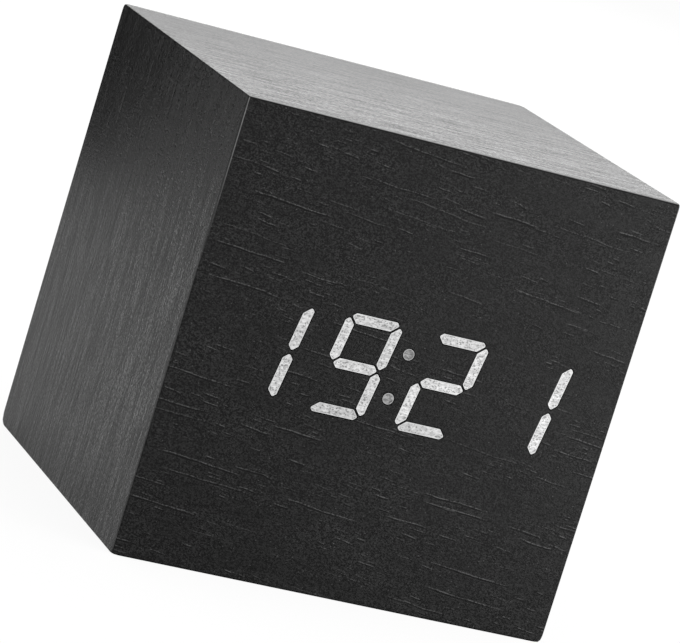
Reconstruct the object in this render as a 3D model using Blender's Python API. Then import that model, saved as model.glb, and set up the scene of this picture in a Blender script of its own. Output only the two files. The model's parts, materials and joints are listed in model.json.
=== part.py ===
"""A wooden alarm clock, nearly a cube: a black veneered case, a four-digit display behind the front veneer,
and a moulded rear cover with its battery tray, door, buttons and inlet. Metres, +Z up. The front faces -Y,
the origin is the middle of the base, and the base stands at z = 0."""

import math

import bmesh
import bpy
from mathutils import Vector

# Case
DEPTH = 0.061
VENEER = 0.0006
BOARD = 0.0045
GLUE_LINE = 0.0001
SEAT_GAP = 0.0003
OVERRUN = 0.0005
CASE_ROOM = 0.0005
BLOCK_SIZE = 0.0058
BLOCK_DEPTH = 0.0102

# Display, in the plane of the face and before the slant
TIME_SHOWN = "19:21"
LIT_SEGMENTS = {
    "0": "abcdef",
    "1": "bc",
    "2": "abdeg",
    "3": "abcdg",
    "4": "bcfg",
    "5": "acdfg",
    "6": "acdefg",
    "7": "abc",
    "8": "abcdefg",
    "9": "abcdfg",
}
DIGIT_HEIGHT = 0.0142
DIGIT_WIDTH = 0.0083
STROKE = 0.0015
MITRE_GAP = 0.0003
CORNER_CUT = 0.00117
SLANT_SHARE = 0.148
DIGIT_NAMES = ("left", "middle_left", "middle_right", "right")
DOT_RADIUS = 0.00084
DOT_HEIGHT = 0.0032
LIGHT_GAP = 0.00005
GUIDE_MARGIN = 0.00025
GUIDE_HEIGHT_MARGIN = 0.0011
COLON_GUIDE_MARGIN = 0.00021
MASK_WALL = 0.0015
MASK_WEB = 0.0003
HOUSING_SIDE_WALL = 0.0002
HOUSING_TOP_WALL = 0.001
DISPLAY_BOARD_MARGIN = 0.0006
DISPLAY_SCREW_ROOM = 0.0022
DISPLAY_SCREW_EDGE = 0.0033
PCB = 0.0016

# Screws, all of one size
SCREW_SHANK_RADIUS = 0.0009
SCREW_HEAD_RADIUS = 0.002
SCREW_HEAD = 0.0012
SCREW_TAPER = 0.001
SCREW_LENGTH = 0.005
CROSS_ARM = 0.0012
CROSS_HALF_WIDTH = 0.0003
CROSS_DEPTH = 0.0006
HEAD_CROWN_SHARE = 0.72
HEAD_RIM_SHARE = 0.55
TIP_SHARE = 0.4

# Rear cover
COVER_INSET = 0.001
COVER_WALL = 0.002
COUNTERBORE = 0.001
POST_RADIUS = 0.0022
POST_INSET = 0.0093
POST_EDGE = 0.0036
BOARD_ROOM = 0.0012

# Battery cells, type AAA, and what holds them
CELL_COUNT = 3
CELL_RADIUS = 0.00525
CELL_LENGTH = 0.0445
CELL_SPACING = 0.0004
CELL_EDGE = 0.0004
NUB_RADIUS = 0.0019
NUB = 0.0008
TRAY_WALL = 0.001
TRAY_EDGE = 0.0005
PLATE = 0.0004
PLATE_HEIGHT = 0.009
SPRING_LENGTH = 0.0022
SPRING_WIRE_RADIUS = 0.00025
SPRING_BASE_RADIUS = 0.003
SPRING_TIP_RADIUS = 0.0016
SPRING_TURNS = 2
POINTS_PER_TURN = 12

# Battery door
DOOR = 0.0016
DOOR_SIDE_MARGIN = 0.0007
DOOR_CORNER = 0.001
TAB = 0.001
TAB_WIDTH = 0.005
TAB_OFFSET = 0.014
TAB_REACH = 0.00145
TAB_SWING_ROOM = 0.0008
LATCH_WALL = 0.0008
LATCH_WIDTH = 0.008
LATCH_HEIGHT = 0.00265
LATCH_SUNK = 0.0002
LATCH_DEPTH = 0.0049
LATCH_ROOM = 0.0006
LATCH_GAP = 0.0011
GRIP_RIB = 0.0003
GRIP_RIB_LENGTH = 0.009
GRIP_RIB_PITCH = 0.0013
GRIP_RIB_COUNT = 3
GRIP_TOP = 0.002

# Buttons and their switches
BUTTON_RADIUS = 0.0023
BUTTON_PROUD = 0.0007
BUTTON_EDGE = 0.0003
BUTTON_PITCH = 0.01
BUTTON_TOP_ROOM = 0.0008
FLANGE_RADIUS = 0.003
FLANGE = 0.001
STEM_RADIUS = 0.0015
SWITCH_SIZE = 0.006
SWITCH_HEIGHT = 0.0035
PLUNGER_RADIUS = 0.00175
PLUNGER_GAP = 0.00015
PLUNGER_PROUD = 0.0015
PLUNGER_SUNK = 0.0007
PLUNGER_BORE = 0.0012

# Main board and what is soldered to it
MAIN_BOARD_SIDE_ROOM = 0.0023
MAIN_BOARD_ROOM = 0.0005
CHIP_SIZE = (0.0103, 0.0023, 0.0075)
CHIP_PLACE = (0.008, -0.0015)
CRYSTAL_SIZE = (0.0112, 0.0035, 0.0047)
CRYSTAL_PLACE = (0.008, 0.0085)
CRYSTAL_ROUND_SHARE = 0.45
CAPACITOR_RADIUS = 0.00315
CAPACITOR_LENGTH = 0.011
CAPACITOR_PLACE = (0.015, -0.014)
BUZZER_RADIUS = 0.006
BUZZER_LENGTH = 0.009
BUZZER_HOLE_RADIUS = 0.001
BUZZER_HOLE = 0.002
BUZZER_PLACE = (-0.014, -0.0135)
CAN_EDGE = 0.0005

# Inlet and microphone, in the rear cover
INLET_RADIUS = 0.0032
INLET_NECK_RADIUS = 0.0026
INLET_BORE_RADIUS = 0.0018
INLET_PROUD = 0.0003
INLET_LENGTH = 0.0085
INLET_BORE = 0.0075
INLET_FLOOR_ROOM = 0.0006
INLET_GAP = 0.00085
PIN_RADIUS = 0.00065
PIN_SUNK = 0.0008
MICROPHONE_RADIUS = 0.003
MICROPHONE_LENGTH = 0.0029
MICROPHONE_PLACE = -0.009
SOUND_HOLE_RADIUS = 0.0007

# Ribbon cable
RIBBON_WIDTH = 0.012
RIBBON = 0.0007
RIBBON_START = 0.0045
RIBBON_END = 0.0145
RIBBON_SAG = 0.004
RIBBON_STEPS = 16

ROUND_SIDES = 24
SMALL_SIDES = 16
CORNER_STEPS = 3
SHARP_ANGLE = math.radians(35)

# Display's half sizes, worked out from the digits and the walls round them
COLON_GUIDE_WIDTH = 2 * (DOT_RADIUS + COLON_GUIDE_MARGIN)
DIGIT_PITCH = DIGIT_WIDTH + COLON_GUIDE_WIDTH + 2 * (GUIDE_MARGIN + 2 * SEAT_GAP + MASK_WEB)
GUIDE_HALF_HEIGHT = DIGIT_HEIGHT / 2 + GUIDE_HEIGHT_MARGIN
GUIDES_HALF_WIDTH = ((len(DIGIT_NAMES) - 1) * DIGIT_PITCH + DIGIT_WIDTH) / 2 + GUIDE_MARGIN
HOUSING_HALF_WIDTH = GUIDES_HALF_WIDTH + SLANT_SHARE * GUIDE_HALF_HEIGHT + SEAT_GAP + HOUSING_SIDE_WALL
HOUSING_HALF_HEIGHT = GUIDE_HALF_HEIGHT + SEAT_GAP + HOUSING_TOP_WALL
DISPLAY_SCREW_HEIGHT = HOUSING_HALF_HEIGHT + DISPLAY_SCREW_ROOM
DISPLAY_BOARD_HALF_WIDTH = HOUSING_HALF_WIDTH + DISPLAY_BOARD_MARGIN
DISPLAY_BOARD_HALF_HEIGHT = DISPLAY_SCREW_HEIGHT + DISPLAY_SCREW_EDGE

# The tray's half sizes, and what lies under and over it against the rear cover
CELL_PITCH = 2 * CELL_RADIUS + CELL_SPACING
TRAY_HALF_HEIGHT = (CELL_COUNT - 1) / 2 * CELL_PITCH + CELL_RADIUS + SEAT_GAP
TRAY_HALF_WIDTH = (CELL_LENGTH + SPRING_LENGTH + 2 * PLATE + 5 * SEAT_GAP) / 2
TRAY_FOOT = INLET_FLOOR_ROOM + 2 * INLET_RADIUS + INLET_GAP + TRAY_WALL
TRAY_HEAD = LATCH_HEIGHT - SEAT_GAP + LATCH_ROOM + LATCH_GAP + 2 * FLANGE_RADIUS + BUTTON_TOP_ROOM

# The case is as wide inside as the widest of the display, the tray, and the tray's stack
INNER = max(
    DISPLAY_BOARD_HALF_WIDTH + CASE_ROOM,
    TRAY_HALF_WIDTH + TRAY_WALL + TRAY_EDGE + SEAT_GAP,
    TRAY_FOOT / 2 + TRAY_HALF_HEIGHT + TRAY_HEAD / 2,
)
SIDE = 2 * (INNER + BOARD + GLUE_LINE + VENEER)

# Places that follow from the sizes above
FRONT = -DEPTH / 2
REAR = DEPTH / 2
CENTRE = SIDE / 2
BOARD_FRONT = FRONT + VENEER + GLUE_LINE
BOARD_BACK = BOARD_FRONT + BOARD
INNER_FLOOR = CENTRE - INNER
INNER_TOP = CENTRE + INNER
DISPLAY_BOARD_FRONT = BOARD_BACK + SEAT_GAP
DISPLAY_BOARD_BACK = DISPLAY_BOARD_FRONT + PCB
COVER_OUT = REAR - COVER_INSET
COVER_IN = COVER_OUT - COVER_WALL
COVER_HALF = INNER - SEAT_GAP
BLOCK_CENTRE = INNER - GLUE_LINE - BLOCK_SIZE / 2
BORE_RADIUS = SCREW_SHANK_RADIUS + SEAT_GAP
DOOR_IN = COVER_OUT - DOOR
CELL_Y = DOOR_IN - SEAT_GAP - CELL_RADIUS
TRAY_LOW = INNER_FLOOR + TRAY_FOOT
TRAY_CENTRE = TRAY_LOW + TRAY_HALF_HEIGHT
TRAY_HIGH = TRAY_CENTRE + TRAY_HALF_HEIGHT
TRAY_FLOOR = CELL_Y - CELL_RADIUS - SEAT_GAP
OPENING_HALF_WIDTH = TRAY_HALF_WIDTH - DOOR_SIDE_MARGIN
DOOR_HALF_WIDTH = OPENING_HALF_WIDTH - SEAT_GAP
DOOR_LOW = TRAY_LOW + SEAT_GAP
DOOR_HIGH = TRAY_HIGH - SEAT_GAP
DOOR_AXIS = (0, COVER_OUT, TRAY_LOW + SEAT_GAP / 2)
TAB_OUT = COVER_IN - SEAT_GAP
TAB_IN = TAB_OUT - TAB
MAIN_BOARD_BACK = TRAY_FLOOR - TRAY_WALL - BOARD_ROOM
MAIN_BOARD_FRONT = MAIN_BOARD_BACK - PCB
MAIN_BOARD_HALF_WIDTH = INNER - MAIN_BOARD_SIDE_ROOM
MAIN_BOARD_LOW = INNER_FLOOR + MAIN_BOARD_ROOM
MAIN_BOARD_HIGH = INNER_TOP - MAIN_BOARD_ROOM
BUTTON_Z = INNER_TOP - BUTTON_TOP_ROOM - FLANGE_RADIUS
SWITCH_FRONT = MAIN_BOARD_BACK + SEAT_GAP
SWITCH_BACK = SWITCH_FRONT + SWITCH_HEIGHT
INLET_Z = INNER_FLOOR + INLET_FLOOR_ROOM + INLET_RADIUS
POST_X = INNER - POST_INSET
POST_PLACES = {
    "upper": (-POST_X, INNER_TOP - POST_EDGE),
    "lower": (POST_X, INNER_FLOOR + POST_EDGE),
}

# Finishes: colour, roughness and metallic value
STAINED_VENEER = ((0.018, 0.018, 0.018), 0.42, 0)
FIBREBOARD = ((0.36, 0.25, 0.16), 0.85, 0)
PINE = ((0.62, 0.45, 0.26), 0.7, 0)
BLACK_PLASTIC = ((0.014, 0.014, 0.015), 0.5, 0)
SWITCH_PLASTIC = ((0.02, 0.02, 0.02), 0.4, 0)
FILLING = ((0.86, 0.87, 0.88), 0.35, 0)
CIRCUIT_BOARD = ((0.02, 0.11, 0.05), 0.4, 0)
CHIP_BODY = ((0.02, 0.02, 0.022), 0.55, 0)
STEEL = ((0.5, 0.5, 0.5), 0.35, 1)
NICKEL = ((0.62, 0.6, 0.56), 0.25, 1)
CELL_WRAP = ((0.03, 0.09, 0.2), 0.3, 0)
RIBBON_JACKET = ((0.45, 0.45, 0.46), 0.55, 0)


def at(axis, u, v, w):
    """The point that lies w along the axis and u, v across it."""
    return {"X": (w, u, v), "Y": (u, w, v), "Z": (u, v, w)}[axis]


def mesh_of(bm):
    bmesh.ops.recalc_face_normals(bm, faces=bm.faces)
    mesh = bpy.data.meshes.new("shape")
    bm.to_mesh(mesh)
    bm.free()
    return mesh


def lofted(axis, rings):
    """A closed solid through rings, each an outline and its place along the axis."""
    bm = bmesh.new()
    loops = [[bm.verts.new(at(axis, u, v, w)) for u, v in outline] for outline, w in rings]
    for low, high in zip(loops, loops[1:]):
        for i, vertex in enumerate(low):
            bm.faces.new((low[i - 1], vertex, high[i], high[i - 1]))
    bm.faces.new(loops[0])
    bm.faces.new(loops[-1])
    return mesh_of(bm)


def prism(axis, outline, low, high):
    return lofted(axis, [(outline, low), (outline, high)])


def rectangle(u, v):
    return [(u[0], v[0]), (u[1], v[0]), (u[1], v[1]), (u[0], v[1])]


def rounded_rectangle(u, v, radius):
    """A rectangle with its corners rounded by short arcs."""
    centres = rectangle((u[0] + radius, u[1] - radius), (v[0] + radius, v[1] - radius))
    points = []
    for corner, (x, y) in enumerate(centres):
        for step in range(CORNER_STEPS + 1):
            turn = math.pi * (1 + corner / 2) + math.pi / 2 * step / CORNER_STEPS
            points.append((x + radius * math.cos(turn), y + radius * math.sin(turn)))
    return points


def circle(centre, radius, sides=ROUND_SIDES):
    turns = [2 * math.pi * (i + 0.5) / sides for i in range(sides)]
    return [(centre[0] + radius * math.cos(t), centre[1] + radius * math.sin(t)) for t in turns]


def block(x, y, z):
    return prism("Z", rectangle(x, y), *z)


def rod(axis, centre, radius, low, high, sides=ROUND_SIDES):
    return prism(axis, circle(centre, radius, sides), low, high)


def turned(axis, centre, profile, sides=ROUND_SIDES):
    """A round solid from a profile of (radius, place along the axis)."""
    return lofted(axis, [(circle(centre, radius, sides), w) for radius, w in profile])


def together(meshes):
    """Separate closed shapes as one mesh, to cut or join them in one go."""
    bm = bmesh.new()
    for mesh in meshes:
        bm.from_mesh(mesh)
    return mesh_of(bm)


def about(middle, half):
    return (middle - half, middle + half)


def material(name, finish):
    colour, roughness, metallic = finish
    made = bpy.data.materials.new(name)
    made.use_nodes = True
    shader = made.node_tree.nodes["Principled BSDF"]
    shader.inputs["Base Color"].default_value = (*colour, 1)
    shader.inputs["Roughness"].default_value = roughness
    shader.inputs["Metallic"].default_value = metallic
    return made


def piece(name, finish, mesh, origin=None, parent=None):
    """One named piece of the clock, with its origin at the middle of its box unless it turns elsewhere."""
    corners = [vertex.co for vertex in mesh.vertices]
    if origin is None:
        low = [min(corner[i] for corner in corners) for i in range(3)]
        high = [max(corner[i] for corner in corners) for i in range(3)]
        origin = [(a + b) / 2 for a, b in zip(low, high)]
    for vertex in mesh.vertices:
        vertex.co -= Vector(origin)
    mesh.name = name
    mesh.shade_smooth()
    mesh.set_sharp_from_angle(angle=SHARP_ANGLE)
    mesh.materials.append(material(name, finish))
    made = bpy.data.objects.new(name, mesh)
    made.location = Vector(origin) - (parent.location if parent else Vector())
    made.parent = parent
    bpy.context.collection.objects.link(made)
    return made


def combined(made, mesh, operation):
    """Joins a shape to the piece or cuts it out, by a hidden helper."""
    helper = bpy.data.objects.new(made.name + "_" + operation.lower(), mesh)
    helper.hide_render = True
    helper.display_type = "WIRE"
    bpy.context.collection.objects.link(helper)
    modifier = made.modifiers.new(operation.title(), "BOOLEAN")
    modifier.operation = operation
    modifier.object = helper


def joined(made, mesh):
    combined(made, mesh, "UNION")


def cut(made, mesh):
    combined(made, mesh, "DIFFERENCE")


def wall_outline(quarter, depth, thickness):
    """The mitred end shape of the wall on one side of the case, turned by quarters from the top."""
    outer = SIDE / 2 - depth
    inner = outer - thickness
    points = [(-outer + GLUE_LINE, outer), (outer - GLUE_LINE, outer)]
    points += [(inner - GLUE_LINE, inner), (-inner + GLUE_LINE, inner)]
    cosine, sine = [(1, 0), (0, 1), (-1, 0), (0, -1)][quarter]
    return [(x * cosine - z * sine, CENTRE + x * sine + z * cosine) for x, z in points]


def slanted(x, z):
    """A point of the display, given from the face's middle, after the digits' slant."""
    return (x + SLANT_SHARE * z, CENTRE + z)


def segment_outlines():
    """The seven segments a to g about the digit's middle, before the slant: mitred bars with cut corners."""
    half_stroke = STROKE / 2
    mitre = MITRE_GAP / math.sqrt(2)
    x = (DIGIT_WIDTH - STROKE) / 2
    z = (DIGIT_HEIGHT - STROKE) / 2
    cut_line = (DIGIT_WIDTH + DIGIT_HEIGHT) / 2 - CORNER_CUT
    above, below = z - x + mitre, z - x - mitre
    top, right = z + half_stroke, x + half_stroke
    inner = x - half_stroke - mitre
    cut_x, cut_z = (cut_line - above) / 2, (cut_line + above) / 2
    half = [(inner, z - half_stroke), (cut_x, cut_z), (cut_line - top, top)]
    a = half + [(-u, v) for u, v in reversed(half)]
    b = [(x - half_stroke, half_stroke + mitre), (x, mitre), (right, half_stroke + mitre)]
    b += [(right, cut_line - right), ((cut_line - below) / 2, (cut_line + below) / 2)]
    b += [(x - half_stroke, z - half_stroke - mitre)]
    tip = x - mitre
    g = [(inner, -half_stroke), (tip, 0), (inner, half_stroke)]
    g += [(-inner, half_stroke), (-tip, 0), (-inner, -half_stroke)]
    return {
        "a": a,
        "b": b,
        "c": mirrored(b, 1, -1),
        "d": mirrored(a, 1, -1),
        "e": mirrored(b, -1, -1),
        "f": mirrored(b, -1, 1),
        "g": g,
    }


def mirrored(outline, across, along):
    return [(x * across, z * along) for x, z in outline]


def grown(outline, gap):
    """A convex outline with each edge moved outwards by the gap."""
    area = sum(p[0] * q[1] - q[0] * p[1] for p, q in zip(outline, outline[1:] + outline[:1]))
    points = outline if area > 0 else outline[::-1]
    moved = []
    for before, here, after in zip(points[-1:] + points[:-1], points, points[1:] + points[:1]):
        first = (Vector(here) - Vector(before)).normalized()
        second = (Vector(after) - Vector(here)).normalized()
        outward = Vector((first.y + second.y, -first.x - second.x)).normalized()
        reach = gap / outward.dot(Vector((first.y, -first.x)))
        moved.append(tuple(Vector(here) + outward * reach))
    return moved


def digit_centres():
    """The four digits' middles, left to right."""
    count = len(DIGIT_NAMES)
    return [(place - (count - 1) / 2) * DIGIT_PITCH for place in range(count)]


def segments(lit_only):
    """Each segment of the display as its digit's place, whether it is lit, and its slanted outline."""
    shapes = segment_outlines()
    found = []
    for place, (x, shown) in enumerate(zip(digit_centres(), TIME_SHOWN.replace(":", ""))):
        for name, outline in shapes.items():
            lit = name in LIT_SEGMENTS[shown]
            if lit or not lit_only:
                found.append((place, lit, [slanted(x + u, v) for u, v in outline]))
    return found


def dots():
    """The middles of the colon's two dots."""
    return [slanted(0, height) for height in (-DOT_HEIGHT, DOT_HEIGHT)]


def light_ways(low, high, lit_only):
    """The openings for the segments and dots, as one cutter between two depths."""
    shapes = [prism("Y", grown(outline, LIGHT_GAP), low, high) for _, _, outline in segments(lit_only)]
    shapes += [rod("Y", dot, DOT_RADIUS + LIGHT_GAP, low, high, SMALL_SIDES) for dot in dots()]
    return together(shapes)


def guide_outline(middle, width):
    """A slanted block behind one digit or behind the colon, as wide as given."""
    corners = rectangle(about(0, width / 2), about(0, GUIDE_HALF_HEIGHT))
    return [slanted(middle + u, v) for u, v in corners]


def make_case():
    """The veneer sheets, the boards under them, and the blocks in the rear corners."""
    face = about(0, SIDE / 2)
    front = piece("front_veneer", STAINED_VENEER, block(face, (FRONT, FRONT + VENEER), (0, SIDE)))
    cut(front, light_ways(FRONT - OVERRUN, FRONT + VENEER + OVERRUN, lit_only=True))

    reach = about(0, SIDE / 2 - VENEER - GLUE_LINE)
    board = piece(
        "front_board",
        FIBREBOARD,
        block(reach, (BOARD_FRONT, BOARD_BACK), about(CENTRE, reach[1])),
    )
    window = block(
        about(0, HOUSING_HALF_WIDTH + SEAT_GAP),
        (BOARD_FRONT - OVERRUN, BOARD_BACK + OVERRUN),
        about(CENTRE, HOUSING_HALF_HEIGHT + SEAT_GAP),
    )
    cut(board, window)
    for place in display_screw_places():
        depth = DISPLAY_BOARD_BACK - SCREW_LENGTH
        cut(board, rod("Y", place, BORE_RADIUS, depth, BOARD_BACK + OVERRUN, SMALL_SIDES))

    for quarter, side in enumerate(("top", "left", "bottom", "right")):
        veneer = wall_outline(quarter, 0, VENEER)
        piece(f"{side}_veneer", STAINED_VENEER, prism("Y", veneer, BOARD_FRONT, REAR))
        wall = wall_outline(quarter, VENEER + GLUE_LINE, BOARD)
        piece(f"{side}_board", FIBREBOARD, prism("Y", wall, BOARD_BACK + GLUE_LINE, REAR))

    back = COVER_IN - SEAT_GAP
    for name, x, z in corner_places():
        size = about(x, BLOCK_SIZE / 2), (back - BLOCK_DEPTH, back), about(z, BLOCK_SIZE / 2)
        made = piece(f"corner_block_{name}", PINE, block(*size))
        depth = COVER_OUT - COUNTERBORE - SCREW_LENGTH
        cut(made, rod("Y", (x, z), BORE_RADIUS, depth, back + OVERRUN, SMALL_SIDES))


def corner_places():
    """The four rear corners by name, with the middle of the block there."""
    return [
        (f"{row}_{side}", BLOCK_CENTRE * across, CENTRE + BLOCK_CENTRE * up)
        for row, up in (("upper", 1), ("lower", -1))
        for side, across in (("left", -1), ("right", 1))
    ]


def display_screw_places():
    x = DISPLAY_BOARD_HALF_WIDTH - DISPLAY_SCREW_EDGE
    return [(-x, CENTRE + DISPLAY_SCREW_HEIGHT), (x, CENTRE - DISPLAY_SCREW_HEIGHT)]


def make_display():
    """The black mask, the filling of each digit and of the colon, and the board with the lamps."""
    size = about(0, HOUSING_HALF_WIDTH), (BOARD_FRONT, BOARD_BACK), about(CENTRE, HOUSING_HALF_HEIGHT)
    housing = piece("display_housing", BLACK_PLASTIC, block(*size))
    pocket_floor = BOARD_FRONT + MASK_WALL
    guide_width = DIGIT_WIDTH + 2 * GUIDE_MARGIN
    blocks = [(x, guide_width) for x in digit_centres()] + [(0, COLON_GUIDE_WIDTH)]
    pockets = [
        prism("Y", grown(guide_outline(x, width), SEAT_GAP), pocket_floor, BOARD_BACK + OVERRUN)
        for x, width in blocks
    ]
    cut(housing, together(pockets))
    cut(housing, light_ways(BOARD_FRONT - OVERRUN, pocket_floor + OVERRUN, lit_only=False))

    start = pocket_floor + SEAT_GAP
    for place, (name, x) in enumerate(zip(DIGIT_NAMES, digit_centres())):
        outline = guide_outline(x, guide_width)
        guide = piece(f"digit_guide_{name}", FILLING, prism("Y", outline, start, BOARD_BACK))
        bosses = [
            prism("Y", shape, FRONT if lit else BOARD_FRONT, start + OVERRUN)
            for owner, lit, shape in segments(lit_only=False)
            if owner == place
        ]
        joined(guide, together(bosses))
    outline = guide_outline(0, COLON_GUIDE_WIDTH)
    colon = piece("colon_guide", FILLING, prism("Y", outline, start, BOARD_BACK))
    bosses = [rod("Y", dot, DOT_RADIUS, FRONT, start + OVERRUN, SMALL_SIDES) for dot in dots()]
    joined(colon, together(bosses))

    size = about(0, DISPLAY_BOARD_HALF_WIDTH), (DISPLAY_BOARD_FRONT, DISPLAY_BOARD_BACK)
    board = piece("display_board", CIRCUIT_BOARD, block(*size, about(CENTRE, DISPLAY_BOARD_HALF_HEIGHT)))
    for x, z in display_screw_places():
        ends = DISPLAY_BOARD_FRONT - OVERRUN, DISPLAY_BOARD_BACK + OVERRUN
        cut(board, rod("Y", (x, z), BORE_RADIUS, *ends, SMALL_SIDES))


def cross_outline(x, z):
    arm, half = CROSS_ARM, CROSS_HALF_WIDTH
    quarter = [(arm, -half), (arm, half), (half, half)]
    turns = [(1, 0), (0, 1), (-1, 0), (0, -1)]
    return [(x + u * c - v * s, z + u * s + v * c) for c, s in turns for u, v in quarter]


def screw(name, place, seat, outward):
    """A screw with its head on the seat, and a cross recess. outward is 1 where the head faces +Y, or -1."""
    profile = [
        (SCREW_SHANK_RADIUS * TIP_SHARE, seat - outward * SCREW_LENGTH),
        (SCREW_SHANK_RADIUS, seat - outward * (SCREW_LENGTH - SCREW_TAPER)),
        (SCREW_SHANK_RADIUS, seat),
        (SCREW_HEAD_RADIUS, seat),
        (SCREW_HEAD_RADIUS, seat + outward * SCREW_HEAD * HEAD_RIM_SHARE),
        (SCREW_HEAD_RADIUS * HEAD_CROWN_SHARE, seat + outward * SCREW_HEAD),
    ]
    made = piece(name, STEEL, turned("Y", place, profile, SMALL_SIDES))
    top = seat + outward * SCREW_HEAD
    ends = sorted((top - outward * CROSS_DEPTH, top + outward * OVERRUN))
    cut(made, prism("Y", cross_outline(*place), *ends))


def make_screws():
    for name, x, z in corner_places():
        screw(f"cover_screw_{name}", (x, z), COVER_OUT - COUNTERBORE + SEAT_GAP, 1)
    for name, place in zip(("upper", "lower"), display_screw_places()):
        screw(f"display_screw_{name}", place, DISPLAY_BOARD_BACK + SEAT_GAP, 1)
    for name, place in POST_PLACES.items():
        screw(f"board_screw_{name}", place, MAIN_BOARD_FRONT - SEAT_GAP, -1)


def button_places():
    """The three buttons by name, with their places along X."""
    return [("set", -BUTTON_PITCH), ("up", 0), ("down", BUTTON_PITCH)]


def make_rear_cover():
    """The moulded cover: a plate with the battery tray and the main board's posts behind it."""
    plate = about(0, COVER_HALF), (COVER_IN, COVER_OUT), about(CENTRE, COVER_HALF)
    cover = piece("rear_cover", BLACK_PLASTIC, block(*plate))
    outer = TRAY_HALF_WIDTH + TRAY_WALL
    tray = block(
        about(0, outer),
        (TRAY_FLOOR - TRAY_WALL, COVER_IN + OVERRUN),
        (TRAY_LOW - TRAY_WALL, TRAY_HIGH + TRAY_WALL),
    )
    joined(cover, tray)
    posts = [
        rod("Y", place, POST_RADIUS, MAIN_BOARD_BACK + SEAT_GAP, COVER_IN + OVERRUN, SMALL_SIDES)
        for place in POST_PLACES.values()
    ]
    joined(cover, together(posts))

    cut(cover, block(about(0, TRAY_HALF_WIDTH), (TRAY_FLOOR, COVER_IN), (TRAY_LOW, TRAY_HIGH)))
    opening = rounded_rectangle(about(0, OPENING_HALF_WIDTH), (TRAY_LOW, TRAY_HIGH), DOOR_CORNER + SEAT_GAP)
    cut(cover, prism("Y", opening, COVER_IN - OVERRUN, COVER_OUT + OVERRUN))
    slots = [
        block(
            about(side * TAB_OFFSET, TAB_WIDTH / 2 + SEAT_GAP),
            (TAB_IN - TAB_SWING_ROOM, COVER_IN + OVERRUN / 2),
            (TRAY_LOW - TRAY_WALL - OVERRUN, TRAY_LOW + OVERRUN),
        )
        for side in (-1, 1)
    ]
    cut(cover, together(slots))
    notch = block(
        about(0, LATCH_WIDTH / 2 + LATCH_ROOM),
        (COVER_OUT - LATCH_DEPTH - LATCH_ROOM, COVER_OUT + OVERRUN),
        (TRAY_HIGH - OVERRUN, DOOR_HIGH + LATCH_HEIGHT + LATCH_ROOM),
    )
    cut(cover, notch)

    holes = [
        rod("Y", (x, BUTTON_Z), BUTTON_RADIUS + SEAT_GAP, COVER_IN - OVERRUN, COVER_OUT + OVERRUN)
        for _, x in button_places()
    ]
    through = COVER_IN - OVERRUN, COVER_OUT + OVERRUN
    holes.append(rod("Y", (0, INLET_Z), INLET_NECK_RADIUS + SEAT_GAP, *through))
    holes.append(rod("Y", (MICROPHONE_PLACE, INLET_Z), SOUND_HOLE_RADIUS, *through, SMALL_SIDES))
    for _, x, z in corner_places():
        seat = COVER_OUT - COUNTERBORE
        profile = [(BORE_RADIUS, through[0]), (BORE_RADIUS, seat)]
        profile += [(SCREW_HEAD_RADIUS + SEAT_GAP, seat), (SCREW_HEAD_RADIUS + SEAT_GAP, through[1])]
        holes.append(turned("Y", (x, z), profile, SMALL_SIDES))
    for place in POST_PLACES.values():
        depth = MAIN_BOARD_FRONT + SCREW_LENGTH
        holes.append(rod("Y", place, BORE_RADIUS, MAIN_BOARD_BACK - OVERRUN, depth, SMALL_SIDES))
    cut(cover, together(holes))


def make_door():
    """The battery door: a plate with two hooked tabs at its foot and a sprung latch at its top."""
    outline = rounded_rectangle(about(0, DOOR_HALF_WIDTH), (DOOR_LOW, DOOR_HIGH), DOOR_CORNER)
    door = piece("battery_door", BLACK_PLASTIC, prism("Y", outline, DOOR_IN, COVER_OUT), DOOR_AXIS)
    low = TRAY_LOW - TAB_REACH
    hook = [(DOOR_IN + DOOR / 2, DOOR_LOW), (DOOR_IN + DOOR / 2, DOOR_LOW + TAB)]
    hook += [(TAB_IN, DOOR_LOW + TAB), (TAB_IN, low), (TAB_OUT, low), (TAB_OUT, DOOR_LOW)]
    tabs = [prism("X", hook, *about(side * TAB_OFFSET, TAB_WIDTH / 2)) for side in (-1, 1)]
    joined(door, together(tabs))
    back, top = COVER_OUT - LATCH_DEPTH, DOOR_HIGH + LATCH_HEIGHT
    foot = DOOR_HIGH - LATCH_SUNK
    strip = [(COVER_OUT, foot), (COVER_OUT, foot + LATCH_WALL)]
    strip += [(back + LATCH_WALL, foot + LATCH_WALL), (back + LATCH_WALL, top - LATCH_WALL)]
    strip += [(COVER_OUT, top - LATCH_WALL), (COVER_OUT, top), (back, top), (back, foot)]
    joined(door, prism("X", strip, *about(0, LATCH_WIDTH / 2)))
    ribs = []
    for i in range(GRIP_RIB_COUNT):
        z = DOOR_HIGH - GRIP_TOP - i * GRIP_RIB_PITCH
        depth = COVER_OUT - OVERRUN, COVER_OUT + GRIP_RIB
        ribs.append(block(about(0, GRIP_RIB_LENGTH / 2), depth, about(z, GRIP_RIB)))
    joined(door, together(ribs))


def cell_places():
    """Each cell's height by name, and the end that its nub points to."""
    rows = ("lower", "middle", "upper")
    middle = (CELL_COUNT - 1) / 2
    return [
        (name, TRAY_CENTRE + (row - middle) * CELL_PITCH, -1 if row % 2 else 1)
        for row, name in enumerate(rows)
    ]


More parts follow.
